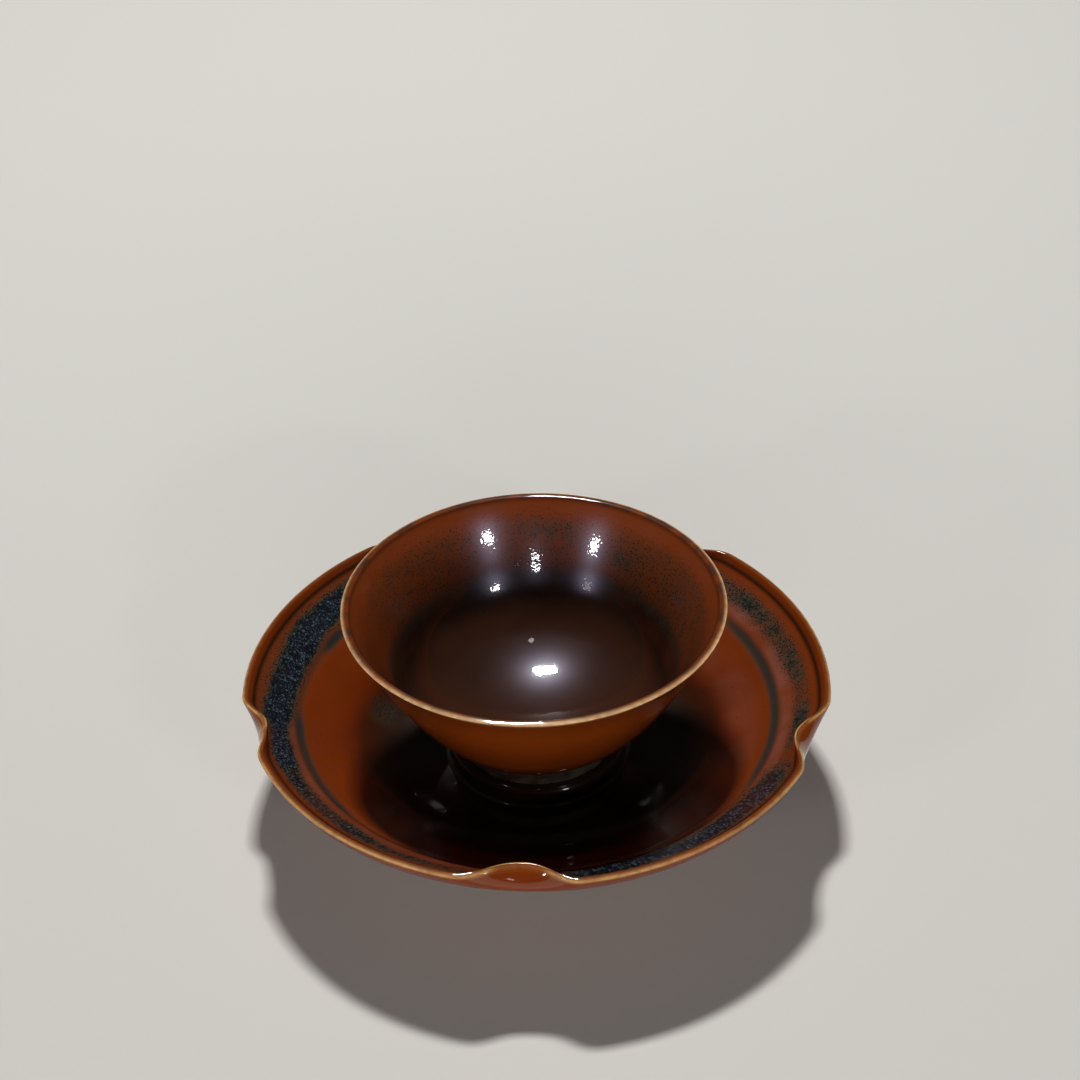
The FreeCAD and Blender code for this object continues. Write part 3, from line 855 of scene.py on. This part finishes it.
@dataclass
class CupStand:
    """The stand: pinched dish, seat ring and foot ring.

    The sizes named lip, strip, floor, corner, wall, shoulder and line give the dish's
    outline. Those named ring and foot give the two rings. The soft ones are how far back
    an arris is rounded, and the dark and loose ones are radii between which the well
    darkens, partly the glaze's own colour and partly painted shade under the bowl, and
    from which the wall wanders, as it does on a wheel. Those that end in tone, grain,
    sheen, dulling, share and follow are shares from 0 to 1, or a little over.

    Attributes:
        notches: where the lip is pinched in.
        fold: a small crease beside the left notch.
        patches: where iron crystals came out.
        worn_skin: where the glassy skin is rubbed dull.
        pools: where glaze gathered in the turned line.
        blushes: where the russet is clouded with pink.
    """

    rim_radius: float = 85.0
    top: float = 39.0
    base: float = 7.4
    lip_width: float = 1.6
    lip_fall: float = 0.4
    strip_width: float = 1.4
    strip_depth: float = 2.1
    floor_radius: float = 36.0
    corner_radius: float = 26.0
    wall: float = 3.8
    shoulder_radius: float = 15.0
    thinning: float = 0.7
    line_radius: float = 69.3
    line_width: float = 2.6
    line_depth: float = 0.3
    pinch_reach: float = 8.3
    dark_from: float = 64.0
    dark_to: float = 40.0
    loose_from: float = 52.0
    outer_soft: float = 0.65
    inner_soft: float = 0.75
    strip_soft: float = 0.9
    lip_back: float = 2.0
    lip_inside: float = 1.5
    pinch_follow: float = 0.6
    wall_tone: float = 0.14
    under_tone: float = 0.12
    # Near black seat ring: partly dark pooled glaze, partly painted shade under the bowl.
    ring_tone: float = 0.95
    wall_grain: float = 0.12
    spot_grain: float = 0.6
    under_grain: float = 0.3
    spot_sheen: float = 1.2
    lip_dulling: float = 0.9
    run_share: float = 0.85
    columns: int = 720
    ring_bore: float = 18.6
    ring_wall: float = 2.7
    ring_inside: float = 23.7
    ring_round: float = 2.2
    ring_drop: float = 1.2
    ring_fillet: float = 1.0
    ring_pool: float = 9.2
    foot_wall: float = 4.2
    foot_taper: float = 1.2
    foot_bevel: float = 0.8
    notches: tuple[Notch, ...] = (
        Notch(-93.4, 12.6, 10.6, 6.9, lobe=0.55, blunt=1.15),
        Notch(-21.9, 11.2, 11.6, 6.6, lobe=0.15),
        Notch(53.0, 11.0, 10.8, 6.8),
        Notch(118.0, 11.2, 10.6, 6.9, lobe=0.1),
        Notch(193.2, 8.6, 9.8, 5.0, lobe=1.0),
    )
    fold: Notch = Notch(198.9, 3.6, 5.5, 0.9)
    patches: tuple[SpotPatch, ...] = (
        SpotPatch(126.0, 160.0, 6.0, 75.4, 7.0, 0.95),
        SpotPatch(158.0, 186.0, 5.0, 74.2, 7.2, 1.0),
        SpotPatch(184.0, 203.0, 5.0, 75.6, 6.4, 0.9),
        SpotPatch(134.0, 194.0, 12.0, 78.8, 5.0, 0.17),
        SpotPatch(198.0, 234.0, 8.0, 76.0, 6.0, 0.66),
        SpotPatch(232.0, 262.0, 10.0, 76.8, 4.6, 0.45),
        SpotPatch(274.0, 330.0, 8.0, 76.0, 8.4, 1.0),
        SpotPatch(337.0, 351.0, 4.0, 76.6, 5.0, 0.52),
        SpotPatch(350.0, 366.0, 6.0, 76.6, 4.8, 0.3),
        SpotPatch(3.0, 36.0, 8.0, 76.0, 6.0, 0.44),
        SpotPatch(36.0, 128.0, 14.0, 76.0, 6.0, 0.5),
        SpotPatch(158.0, 170.0, 4.0, 48.4, 8.0, 0.3),
    )
    worn_skin: tuple[SpotPatch, ...] = (
        SpotPatch(198.0, 230.0, 6.0, 40.0, 18.0, 0.88),
        SpotPatch(304.0, 336.0, 6.0, 40.0, 18.0, 0.88),
    )
    pools: tuple[SpotPatch, ...] = (
        SpotPatch(-34.0, 32.0, 8.0, 69.2, 2.9, 0.9),
        SpotPatch(183.0, 222.0, 5.0, 69.2, 3.0, 0.88),
        SpotPatch(148.0, 157.0, 3.0, 69.7, 3.4, 0.7),
        SpotPatch(222.0, 256.0, 10.0, 69.4, 1.5, 0.5),
        SpotPatch(34.0, 186.0, 10.0, 69.4, 1.8, 0.35),
        SpotPatch(258.0, 326.0, 10.0, 69.4, 1.2, 0.3),
    )
    blushes: tuple[SpotPatch, ...] = (
        SpotPatch(-34.0, 44.0, 12.0, 72.6, 4.6, 1.0),
        SpotPatch(150.0, 240.0, 16.0, 72.4, 3.6, 0.55),
        SpotPatch(240.0, 326.0, 12.0, 72.8, 3.0, 0.35),
        SpotPatch(-30.0, 40.0, 14.0, 60.0, 9.0, 0.4),
    )

    def __post_init__(self) -> None:
        """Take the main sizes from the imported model."""
        low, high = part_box("stand_dish")
        self.top = high[2] / MM
        self.base = low[2] / MM
        self.floor = self.base + self.wall
        self.slope = self.wall_slope()

    def strip_foot(self) -> Place:
        """Where the steep strip inside the lip meets the wall."""
        return (self.rim_radius - self.lip_width - self.strip_width, self.top - self.strip_depth)

    def wall_slope(self) -> float:
        """The straight wall's slope in radians, tangent to the hollow curve."""
        foot = self.strip_foot()
        across = foot[0] - self.floor_radius
        up = foot[1] - self.base - self.wall - self.corner_radius
        return math.atan2(up, across) + math.asin(self.corner_radius / math.hypot(across, up))

    def curve_end(self, radius: float) -> Place:
        """Where a hollow curve of this radius meets its straight wall."""
        centre = (self.floor_radius, self.floor + self.corner_radius)
        return (
            centre[0] + radius * math.sin(self.slope),
            centre[1] - radius * math.cos(self.slope),
        )

    def shoulder_start(self) -> Place:
        """Where the shoulder curve leaves the straight outer wall to end at the lip."""
        start = self.curve_end(self.corner_radius + self.wall)
        along = (math.cos(self.slope), math.sin(self.slope))
        across = self.rim_radius - start[0]
        up = self.top - self.lip_fall - start[1]
        ahead = across * along[0] + up * along[1]
        aside = up * along[0] - across * along[1]
        run = ahead - math.sqrt(aside * (2 * self.shoulder_radius - aside))
        return (start[0] + run * along[0], start[1] + run * along[1])

    def section(self) -> Section:
        """The dish's outline from under its middle, over the lip, to the middle of the well."""
        outer = (self.rim_radius, self.top - self.lip_fall)
        inner = (self.rim_radius - self.lip_width, self.top)
        under = self.corner_radius + self.wall
        runs = [
            Run((0.0, self.base), step=6.0),
            Run((self.floor_radius, self.base), Side.LEFT, under, step=2.5),
            Run(self.curve_end(under), step=3.0),
            Run(self.shoulder_start(), Side.LEFT, self.shoulder_radius, step=0.8,
                soft=self.outer_soft, name="outer_arris"),
            Run(outer, step=0.25, soft=self.inner_soft, name="inner_arris"),
            Run(inner, step=0.3, soft=self.strip_soft, name="strip_foot"),
            Run(self.strip_foot(), step=0.6),
            Run(self.curve_end(self.corner_radius), Side.RIGHT, self.corner_radius, step=1.2),
            Run((self.floor_radius, self.floor), step=3.0),
        ]
        return Section(runs, (0.0, self.floor))

    def make_dish(self) -> bpy.types.Object:
        """The dish with its notches, turned line and iron crystals."""
        section = self.section()
        turned = Turned(section, self.columns)
        angles = turned.angles()
        radii, heights = turned.grid()
        travelled = section.travelled[:, None]
        outer, inner, foot = section.corners.values()
        inside = travelled > inner

        depth = sum(notch.share(angles) * notch.depth for notch in (*self.notches, self.fold))
        pinch = depth / max(notch.depth for notch in self.notches)
        low = self.top - self.lip_fall - self.pinch_reach
        feel = np.clip((heights - low) / self.pinch_reach, 0.0, 1.0) ** 2
        inset = eased(travelled, outer, inner) * self.thinning * pinch
        radii = radii - feel * (depth - inset)
        sunk = self.line_depth * hump(radii, self.line_radius, self.line_width) * inside
        radii = radii + sunk * math.sin(self.slope)
        heights = heights - sunk * math.cos(self.slope)
        radii, heights = self.by_hand(radii, heights, angles, feel)

        unpinched = radii + depth * feel * self.pinch_follow
        layers = self.glaze_layers(unpinched, angles, travelled, section, pinch)
        # Darkening of the well towards the middle: partly the glaze's own darker colour, partly
        # painted shade under the bowl.
        across = eased(radii, self.dark_from, self.dark_to)
        tone = self.wall_tone + (1.0 - self.wall_tone) * across
        layers["tone"] = np.where(inside, tone, self.under_tone)
        grain = self.wall_grain * (1 - across) + self.spot_grain * layers["spots"]
        layers["grain"] = np.where(inside, grain, self.under_grain)
        lip = eased(travelled, outer - self.lip_back, outer - 0.8)
        lip = lip * eased(travelled, foot + self.lip_inside, foot + 0.3)
        layers["dull"] = crowded(self.worn_skin, radii, angles) * inside
        skin_left = (1.0 - self.lip_dulling * lip) * (1.0 - layers["dull"])
        layers["sheen"] = (1.0 + self.spot_sheen * layers["spots"]) * skin_left
        facing = np.clip(np.cos(np.radians(angles) + np.pi / 2), 0.0, 1.0)
        layers["run"] = self.run_share * facing ** 1.5
        return turned.mesh("stand_dish_glazed", radii, heights, layers)

    def glaze_layers(
        self,
        radii: Array,
        angles: Array,
        travelled: Array,
        section: Section,
        pinch: Array,
    ) -> dict[str, Array]:
        """Where the glaze ran thin, pooled or grew crystals.

        Args:
            radii: how far out each place lies, as if the lip weren't pinched.
            angles: the columns' angles.
            travelled: how far along the section each row lies.
            section: the dish's outline.
            pinch: how deep in a notch each column lies, from 0 to 1.

        Returns:
            Named shares from 0 to 1.
        """
        outer, inner, foot = section.corners.values()
        inside = travelled > inner
        turn = np.radians(angles)
        near_notch = eased(pinch, 0.45, 0.85)
        wear = 0.8 + 0.2 * np.sin(3 * turn + 1.0) * np.sin(5 * turn)
        # Towards the front the pale gold line moves out and widens: painted highlight of the key
        # light along the rim, over the glaze's own thin edge.
        front = ((1 + np.cos(turn + np.pi / 2)) / 2) ** 2
        line = outer + 0.4 - 0.35 * front
        thin = hump(travelled, line, 0.9 + 0.55 * front) * wear * (1.0 - 0.8 * near_notch)
        thin = thin + hump(travelled, inner - 0.1, 0.9) * (0.05 + 0.95 * near_notch)
        face = eased(travelled, outer + 0.2, outer + 0.7)
        face = face * eased(travelled, inner + 0.3, inner - 0.3)
        strip = hump(travelled, foot + 0.3, 1.7) * (1.0 - 0.7 * near_notch)
        return {
            "thin": np.clip(thin, 0.0, 1.0),
            "face": face * 0.5225,
            "strip": np.clip(strip * 0.9, 0.0, 1.0),
            "pool": crowded(self.pools, radii, angles) * inside,
            "spots": np.clip(crowded(self.patches, radii, angles) * inside, 0.0, 1.0),
            "blush": crowded(self.blushes, radii, angles) * inside,
        }

    def by_hand(
        self, radii: Array, heights: Array, angles: Array, feel: Array
    ) -> tuple[Array, Array]:
        """Throwing is never quite round: each lobe stands a little in, and the lip wanders down.

        Args:
            radii: rows by columns.
            heights: rows by columns.
            angles: the columns' angles.
            feel: how strongly each row follows the lip.

        Returns:
            The moved radii and heights.
        """
        turn = np.radians(angles)
        places: list[float] = []
        lobes: list[float] = []
        for before, notch in zip((self.notches[-1], *self.notches[:-1]), self.notches):
            places += [notch.angle - notch.clockwise, notch.angle + notch.anticlockwise]
            lobes += [before.lobe, notch.lobe]
        inward = np.interp(angles, places, lobes, period=FULL_TURN)
        inward = inward + 0.06 * (1 + np.sin(2 * turn + 0.7))
        down = 0.06 * (1 + np.sin(2 * turn + 2.4)) + 0.04 * (1 + np.sin(5 * turn + 0.3))
        share = eased(radii, self.loose_from, self.rim_radius)
        return radii - inward * share, heights - down * feel

    def make_ring(self) -> bpy.types.Object:
        """The low ring luted to the well floor, which keeps the bowl's foot in place."""
        low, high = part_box("stand_seat_ring")
        floor, top = low[2] / MM, high[2] / MM
        outside = self.ring_inside + self.ring_wall
        ledge, fillet = top - self.ring_drop, self.ring_fillet
        runs = [
            Run((self.ring_bore, floor), step=1.0),
            Run((outside + fillet, floor), Side.RIGHT, fillet, step=0.25),
            Run((outside, floor + fillet), step=0.8),
            Run((outside, top - self.ring_round), Side.LEFT, self.ring_round, step=0.3),
            Run((outside - self.ring_round, top), step=0.3, soft=0.2),
            Run((self.ring_inside, top), step=0.4, soft=0.25),
            Run((self.ring_inside, ledge), step=1.0, soft=0.3),
            Run((self.ring_bore, ledge), step=1.0),
        ]
        section = Section(runs, (self.ring_bore, floor))
        pool = hump(section.travelled[:, None], self.ring_pool, 1.6) * 0.6
        turned = Turned(section, RING_COLUMNS, closed=True)
        # Dark tone of the seat ring: partly pooled glaze, partly painted shade under the bowl.
        layers = {"tone": np.array(self.ring_tone), "sheen": np.array(1.0), "pool": pool}
        return turned.mesh("stand_seat_ring_glazed", *turned.grid(), layers)

    def make_foot(self) -> bpy.types.Object:
        """The hollow foot ring under the dish, with bevelled lower edges."""
        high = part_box("stand_foot_ring")[1]
        outside, top = round(high[0] / MM, 1), high[2] / MM
        inside = outside - self.foot_wall
        bevel = self.foot_bevel
        slant = self.foot_taper * bevel / top
        runs = [
            Run((inside + bevel, 0.0), step=1.0, soft=0.15),
            Run((outside - bevel, 0.0), step=0.4, soft=0.2),
            Run((outside - slant, bevel), step=1.0),
            Run((outside - self.foot_taper, top), step=1.5),
            Run((inside - self.foot_taper, top), step=1.0),
            Run((inside - slant, bevel), step=0.4),
        ]
        turned = Turned(Section(runs, (inside + bevel, 0.0)), RING_COLUMNS, closed=True)
        return turned.mesh("stand_foot_turned", *turned.grid(), {})

    def build(self, glaze: IronGlaze, clay: TurnedClay) -> None:
        """Make the stand's pieces and dress them.

        Args:
            glaze: the glaze of dish and seat ring.
            clay: the finish of the foot.
        """
        dressed(self.make_dish(), glaze, "stand", "stand_glaze", "stand_dish")
        dressed(self.make_ring(), glaze, "stand", "stand_glaze", "stand_seat_ring")
        dressed(self.make_foot(), clay, "stand", "foot_clay", "stand_foot_ring")


@dataclass
class TeaBowl:
    """The bowl: wall with flared lip, and foot ring.

    The base, waist and belly sizes give the outside, the inner, well and floor ones the
    inside, and lip and crest the rounded edge between them.

    Attributes:
        inner_turn: radius and height where the inside stops flaring and starts to round.
        inner_lean: how far the inside leans out there.
        floor_bow: radius of the well floor's slight hollow.
        clusters: angle, half width, depth from the lip as a share, half of its height and
            sharpness of the crystal cluster, the olive patch and the dull patch.
    """

    rim_radius: float = 54.6
    top: float = 65.6
    base: float = 21.2
    base_radius: float = 24.9
    lip_width: float = 2.0
    lip_fall: float = 0.5
    waist_radius: float = 48.3
    waist_rise: float = 33.0
    belly_radius: float = 95.0
    floor: float = 4.2
    well_radius: float = 24.0
    floor_bow: float = 72.0
    inner_turn: Place = (42.5, 47.5)
    inner_lean: float = 24.4
    inner_belly: float = 81.0
    crest_in: float = 1.25
    crest_rise: float = 0.26
    crest_fall: float = 0.2
    lip_lift: float = 0.2
    lip_grow: float = 0.25
    loose_from: float = 25.0
    sag_from: float = 45.0
    pool_height: float = 2.6
    outer_tone: float = 0.08
    foot_tone: float = 0.3
    outer_sheen: float = 0.3
    well_sheen: float = 0.17
    belt_sheen: float = 0.85
    lip_dulling: float = 0.85
    patch_dulling: float = 0.97
    wall_grain: float = 0.4
    foot_wall: float = 3.8
    foot_flare: float = 1.2
    foot_bevel: float = 0.6
    columns: int = 600
    clusters: tuple[tuple[float, float, float, float, int], ...] = (
        (52.0, 9.0, 0.21, 0.06, 2),
        (84.0, 16.0, 0.14, 0.05, 2),
        (64.0, 11.0, 0.36, 0.07, 4),
    )

    def __post_init__(self) -> None:
        """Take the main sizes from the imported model."""
        low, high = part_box("bowl_wall")
        self.top = high[2] / MM
        self.base = low[2] / MM

    @staticmethod
    def tangent_radius(start: Place, heading: Place, end: Place) -> float:
        """Radius of the arc that leaves a place in a direction and ends at another."""
        across, up = end[0] - start[0], end[1] - start[1]
        aside = -heading[1] * across + heading[0] * up
        return (across ** 2 + up ** 2) / abs(2 * aside)

    @staticmethod
    def heading(centre: Place, place: Place) -> Place:
        """The upward direction along an arc about a centre, at a place on it."""
        length = math.dist(centre, place)
        return ((centre[1] - place[1]) / length, (place[0] - centre[0]) / length)

    @staticmethod
    def common_centre(first: Place, near: float, second: Place, far: float) -> Place:
        """The lower place at one distance from the first centre and another from the second."""
        apart = math.dist(first, second)
        ahead = ((second[0] - first[0]) / apart, (second[1] - first[1]) / apart)
        along = (near ** 2 - far ** 2 + apart ** 2) / (2 * apart)
        aside = math.sqrt(near ** 2 - along ** 2)
        return (
            first[0] + ahead[0] * along + ahead[1] * aside,
            first[1] + ahead[1] * along - ahead[0] * aside,
        )

    @staticmethod
    def beyond(centre: Place, towards: Place, radius: float) -> Place:
        """The place on a circle about a centre that lies towards another place."""
        share = radius / math.dist(centre, towards)
        across, up = towards[0] - centre[0], towards[1] - centre[1]
        return (centre[0] + across * share, centre[1] + up * share)

    def section(self) -> Section:
        """The bowl's outline from under its middle, over the lip, to the middle of the well."""
        foot = (self.base_radius, self.base)
        waist = (self.waist_radius, self.base + self.waist_rise)
        outer = (self.rim_radius, self.top - self.lip_fall + self.lip_lift)
        crest = (self.rim_radius - self.crest_in, outer[1] + self.crest_rise)
        inner = (self.rim_radius - self.lip_width - self.lip_grow, crest[1] - self.crest_fall)
        centre = Section.centre_of(Run(foot, Side.LEFT, self.belly_radius), waist)
        flare = self.tangent_radius(waist, self.heading(centre, waist), outer)
        lean = math.radians(self.inner_lean)
        middle = (
            self.inner_turn[0] - self.inner_belly * math.cos(lean),
            self.inner_turn[1] + self.inner_belly * math.sin(lean),
        )
        upward = self.heading(middle, self.inner_turn)
        inner_flare = self.tangent_radius(self.inner_turn, upward, inner)
        bottom = (0.0, self.base + self.floor + self.floor_bow)
        from_wall = self.inner_belly - self.well_radius
        from_floor = self.floor_bow - self.well_radius
        well = self.common_centre(middle, from_wall, bottom, from_floor)
        well_top = self.beyond(middle, well, self.inner_belly)
        well_foot = self.beyond(bottom, well, self.floor_bow)
        runs = [
            Run((0.0, self.base), step=5.0, soft=0.3),
            Run(foot, Side.LEFT, self.belly_radius, step=1.2),
            Run(waist, Side.RIGHT, flare, step=1.0, soft=0.4, name="outer_arris"),
            Run(outer, step=0.25, soft=0.2),
            Run(crest, step=0.25, soft=0.35, name="inner_arris"),
            Run(inner, Side.LEFT, inner_flare, step=0.7),
            Run(self.inner_turn, Side.RIGHT, self.inner_belly, step=1.0),
            Run(well_top, Side.RIGHT, self.well_radius, step=1.0),
            Run(well_foot, Side.RIGHT, self.floor_bow, step=1.2),
        ]
        return Section(runs, (0.0, self.base + self.floor))

    def make_wall(self) -> bpy.types.Object:
        """The bowl's wall and floor."""
        section = self.section()
        turned = Turned(section, self.columns)
        angles = turned.angles()
        turn = np.radians(angles)
        radii, heights = turned.grid()
        inward = 0.08 * (1 + np.sin(2 * turn + 1.9)) + 0.03 * (1 + np.sin(3 * turn))
        radii = radii - inward * eased(radii, self.loose_from, self.rim_radius)
        fall = 0.06 * (1 + np.sin(2 * turn + 0.5))
        heights = heights - fall * eased(heights, self.sag_from, self.top)
        layers = self.glaze_layers(section, angles, heights)
        return turned.mesh("bowl_wall_glazed", radii, heights, layers)

    def glaze_layers(self, section: Section, angles: Array, heights: Array) -> dict[str, Array]:
        """Where the glaze ran thin, pooled, darkened or grew crystals.

        Args:
            section: the bowl's outline.
            angles: the columns' angles.
            heights: rows by columns.

        Returns:
            Named shares from 0 to 1.
        """
        turn = np.radians(angles)
        along = section.travelled[:, None]
        outer, inner = section.corners.values()
        inside = along > inner
        depth = (along - inner) / (along[-1] - inner)
        drop = (outer - along) / outer
        gold = 0.85 + 0.15 * np.sin(3 * turn + 0.4) * np.sin(4 * turn)
        # Towards the front the pale gold line widens: painted highlight of the key light along the
        # rim, over the glaze's own thin edge.
        front = ((1 + np.cos(turn + np.pi / 2)) / 2) ** 3
        belt = eased(depth, 0.02, 0.12) * eased(depth, 0.42, 0.32)
        lip = eased(along, outer - 2.0, outer - 0.8) * eased(along, inner + 1.5, inner + 0.5)
        uneven = 0.55 + 0.2 * np.cos(turn - 1.1) + 0.2 * np.sin(3 * turn + 0.6)
        uneven = uneven + 0.1 * np.sin(5 * turn)
        back = np.exp(-(angle_between(angles, 88.0) / 40.0) ** 2)
        cluster, olive, dulled = (
            np.exp(-(angle_between(angles, at) / wide) ** power - ((depth - deep) / tall) ** power)
            for at, wide, deep, tall, power in self.clusters
        )
        # Russet near the lip to chocolate at the bottom is the glaze's own colour; the black-brown
        # band at the belly, from about 0.3 to 0.5 of the depth, is painted shade.
        tone = self.outer_tone + sum(
            more * eased(depth, start, end)
            for more, start, end in ((0.14, 0.04, 0.25), (0.54, 0.26, 0.35), (0.24, 0.4, 0.52))
        )
        spots = belt * (0.12 + uneven * 0.2) + cluster * 0.16 + olive * 0.12
        sheen = self.well_sheen + self.belt_sheen * belt * (0.35 + 0.65 * back)
        strip = hump(along, inner + 0.6, 0.8) * 0.75 + hump(along, outer - 1.7, 1.2) * 0.15
        face = eased(along, outer + 0.2, outer + 0.7) * eased(along, inner + 0.6, inner)
        pool = eased(heights, self.base + self.pool_height, self.base)
        return {
            "tone": np.where(inside, tone, self.outer_tone + self.foot_tone * drop),
            "thin": hump(along, outer + 0.25, 1.0 + 1.2 * front) * gold,
            "face": face * 0.8,
            "strip": strip,
            "pool": pool * ~inside * 0.4,
            "spots": np.clip(spots * inside, 0.0, 1.0),
            "blush": np.exp(-(((depth - 0.05) / 0.04) ** 2)) * inside * 0.3,
            "grain": inside * (self.wall_grain + (1.0 - self.wall_grain) * belt),
            "sheen": np.where(inside, sheen, self.outer_sheen) * (1.0 - self.lip_dulling * lip),
            "dull": inside * dulled * self.patch_dulling,
        }

    def make_foot(self) -> bpy.types.Object:
        """The bowl's foot ring, bevelled where it stands on the seat."""
        low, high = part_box("bowl_foot_ring")
        base, top = low[2] / MM, high[2] / MM
        wide = high[0] / MM
        outside = wide - self.foot_flare
        inside = outside - self.foot_wall
        bevel = self.foot_bevel
        slant = self.foot_flare * bevel / (top - base)
        runs = [
            Run((inside + bevel, base), step=1.0),
            Run((outside - bevel, base), step=0.4, soft=0.15),
            Run((outside + slant, base + bevel), step=0.8),
            Run((wide, top), step=1.5),
            Run((inside, top), step=1.0),
            Run((inside, base + bevel), step=0.4),
        ]
        turned = Turned(Section(runs, (inside + bevel, base)), RING_COLUMNS, closed=True)
        return turned.mesh("bowl_foot_turned", *turned.grid(), {})

    def build(self, glaze: IronGlaze, clay: TurnedClay) -> None:
        """Make the bowl's pieces and dress them.

        Args:
            glaze: the glaze of the wall.
            clay: the finish of the foot.
        """
        dressed(self.make_wall(), glaze, "bowl", "bowl_glaze", "bowl_wall")
        dressed(self.make_foot(), clay, "bowl", "foot_clay", "bowl_foot_ring")


@dataclass
class SoftLamp:
    """A soft box, square or oblong, that shines white.

    Attributes:
        name: what the lamp is called.
        azimuth: where it stands round the object, 0 in front and 90 on the right.
        elevation: how high it stands, in degrees.
        distance: how far off it stands, in metres.
        width: its side in metres.
        watts: its power.
        height: its height in metres, where it isn't square.
        mirrored: False for a wide dim bounce that no glaze shows.
    """

    name: str
    azimuth: float
    elevation: float
    distance: float
    width: float
    watts: float
    height: Optional[float] = None
    mirrored: bool = True

    def build(self, aim: Vector) -> None:
        """Hang the lamp so that it points at the object."""
        turn, lift = math.radians(self.azimuth), math.radians(self.elevation)
        away = Vector((
            math.sin(turn) * math.cos(lift), -math.cos(turn) * math.cos(lift), math.sin(lift)))
        data = bpy.data.lights.new(self.name, "AREA")
        data.shape = "RECTANGLE"
        data.size = self.width
        data.size_y = self.height or self.width
        data.energy = self.watts
        lamp = bpy.data.objects.new(self.name, data)
        lamp.location = aim + away * self.distance
        lamp.visible_glossy = self.mirrored
        lamp.rotation_mode = "QUATERNION"
        lamp.rotation_quaternion = (-away).to_track_quat("-Z", "Y")
        bpy.context.scene.collection.objects.link(lamp)
        log.info("%s: %.0f W", self.name, self.watts)


@dataclass
class Studio:
    """Floor, lamps, surroundings and camera.

    Attributes:
        aim_height: height of the place that the lamps point at.
        floor_size: the floor's side, in metres.
        world_colour: the dim surround.
        world_strength: its strength.
        lens: the camera's focal length.
        sensor: the width of its picture.
        camera_place: where it stands.
        camera_dip: how far it looks down.
        camera_roll: how far it is turned about its line of sight.
        lamps: the soft boxes.
    """

    aim_height: float = 30.0
    floor_size: float = 4.0
    world_colour: str = "#8f8f90"
    world_strength: float = 0.04
    lens: float = 60.0
    sensor: float = 36.0
    camera_place: tuple[float, float, float] = (2.25, -406.3, 367.7)
    camera_dip: float = 34.78
    camera_roll: float = 1.61
    lamps: tuple[SoftLamp, ...] = (
        SoftLamp("key_from_behind", 187.0, 63.0, 2.2, 0.26, 41.0, height=0.14),
        SoftLamp("front_left", -43.5, 18.4, 1.8, 0.16, 3.0, height=0.12),
        SoftLamp("front_right", 31.0, 21.9, 1.8, 0.19, 3.0, height=0.08),
        SoftLamp("beside_camera", -1.8, 16.4, 1.8, 0.18, 0.6, height=0.02),
        SoftLamp("low_fill", 0.0, 9.0, 1.6, 1.2, 11.0, height=0.22, mirrored=False),
    )

    def build(self) -> None:
        """Set up everything round the object."""
        self.make_floor()
        for lamp in self.lamps:
            lamp.build(Vector((0.0, 0.0, self.aim_height)) * MM)
        self.make_world()
        self.make_camera()

    def make_floor(self) -> None:
        """A plain pale sheet under the object."""
        half = self.floor_size / 2
        mesh = bpy.data.meshes.new("floor")
        corners = [(x * half, y * half, 0.0) for x, y in ((-1, -1), (1, -1), (1, 1), (-1, 1))]
        mesh.from_pydata(corners, [], [(0, 1, 2, 3)])
        floor = bpy.data.objects.new("floor", mesh)
        bpy.context.scene.collection.objects.link(floor)
        mesh.materials.append(PaperSweep().material())

    def make_world(self) -> None:
        """A dim even surround."""
        world = bpy.data.worlds.new("studio")
        world.use_nodes = True
        tree = world.node_tree
        tree.nodes.clear()
        light = add(tree, "Background", {
            "Color": linear(self.world_colour), "Strength": self.world_strength})
        add(tree, "OutputWorld", {"Surface": light})
        bpy.context.scene.world = world

    def make_camera(self) -> None:
        """The camera at the photograph's angle."""
        dip, roll = math.radians(self.camera_dip), math.radians(self.camera_roll)
        right = Vector((1.0, 0.0, 0.0))
        up = Vector((0.0, math.sin(dip), math.cos(dip)))
        back = right.cross(up)
        across = right * math.cos(roll) - up * math.sin(roll)
        upright = up * math.cos(roll) + right * math.sin(roll)
        data = bpy.data.cameras.new("camera")
        data.lens = self.lens
        data.sensor_width = self.sensor
        data.clip_start = 0.01
        camera = bpy.data.objects.new("camera", data)
        turn = Matrix((across, upright, back)).transposed()
        camera.matrix_world = Matrix.Translation(Vector(self.camera_place) * MM) @ turn.to_4x4()
        bpy.context.scene.collection.objects.link(camera)
        bpy.context.scene.camera = camera
        bpy.context.scene.view_settings.view_transform = "Standard"


STAND_GLAZE = IronGlaze(
    name="persimmon_glaze_poured",
    # The darker stops colour the well: partly the glaze's own colour, partly painted shade under
    # the bowl.
    tones=((0.0, "#7b340a"), (0.3, "#722a07"), (0.6, "#431a07"), (1.0, "#25180f")),
    pool_colour="#31342a",
    blush_colour="#865041",
    gloss=Gloss(body_level=0.15),
)
BOWL_GLAZE = IronGlaze(
    name="persimmon_glaze_bowl",
    # The black-brown stop at 0.76 is painted shade at the belly; the other stops are the glaze's
    # own colours.
    tones=(
        (0.0, "#7e370d"), (0.2, "#793309"), (0.35, "#6b2c0b"), (0.76, "#22130c"),
        (1.0, "#3a2014"),
    ),
    thin_colour="#ecc08a",
    face_colour="#3c281f",
    spot_width=0.8,
    spot_reach=0.5,
    veil_start=0.13,
    kiln_grit=(-1.3, 26.0, 30.6),
    gloss=Gloss(sheen_tint="#b4aec8", body_level=0.9, body_roughness=0.28, skin_ior=1.62),
)
FOOT_CLAY = TurnedClay(name="turned_clay_with_wash")


def main() -> None:
    """Build the stand, the bowl and the studio."""
    logging.basicConfig(level=logging.INFO, format="%(name)s %(message)s")
    CupStand().build(STAND_GLAZE, FOOT_CLAY)
    TeaBowl().build(BOWL_GLAZE, FOOT_CLAY)
    Studio().build()


if __name__ == "__main__":
    main()
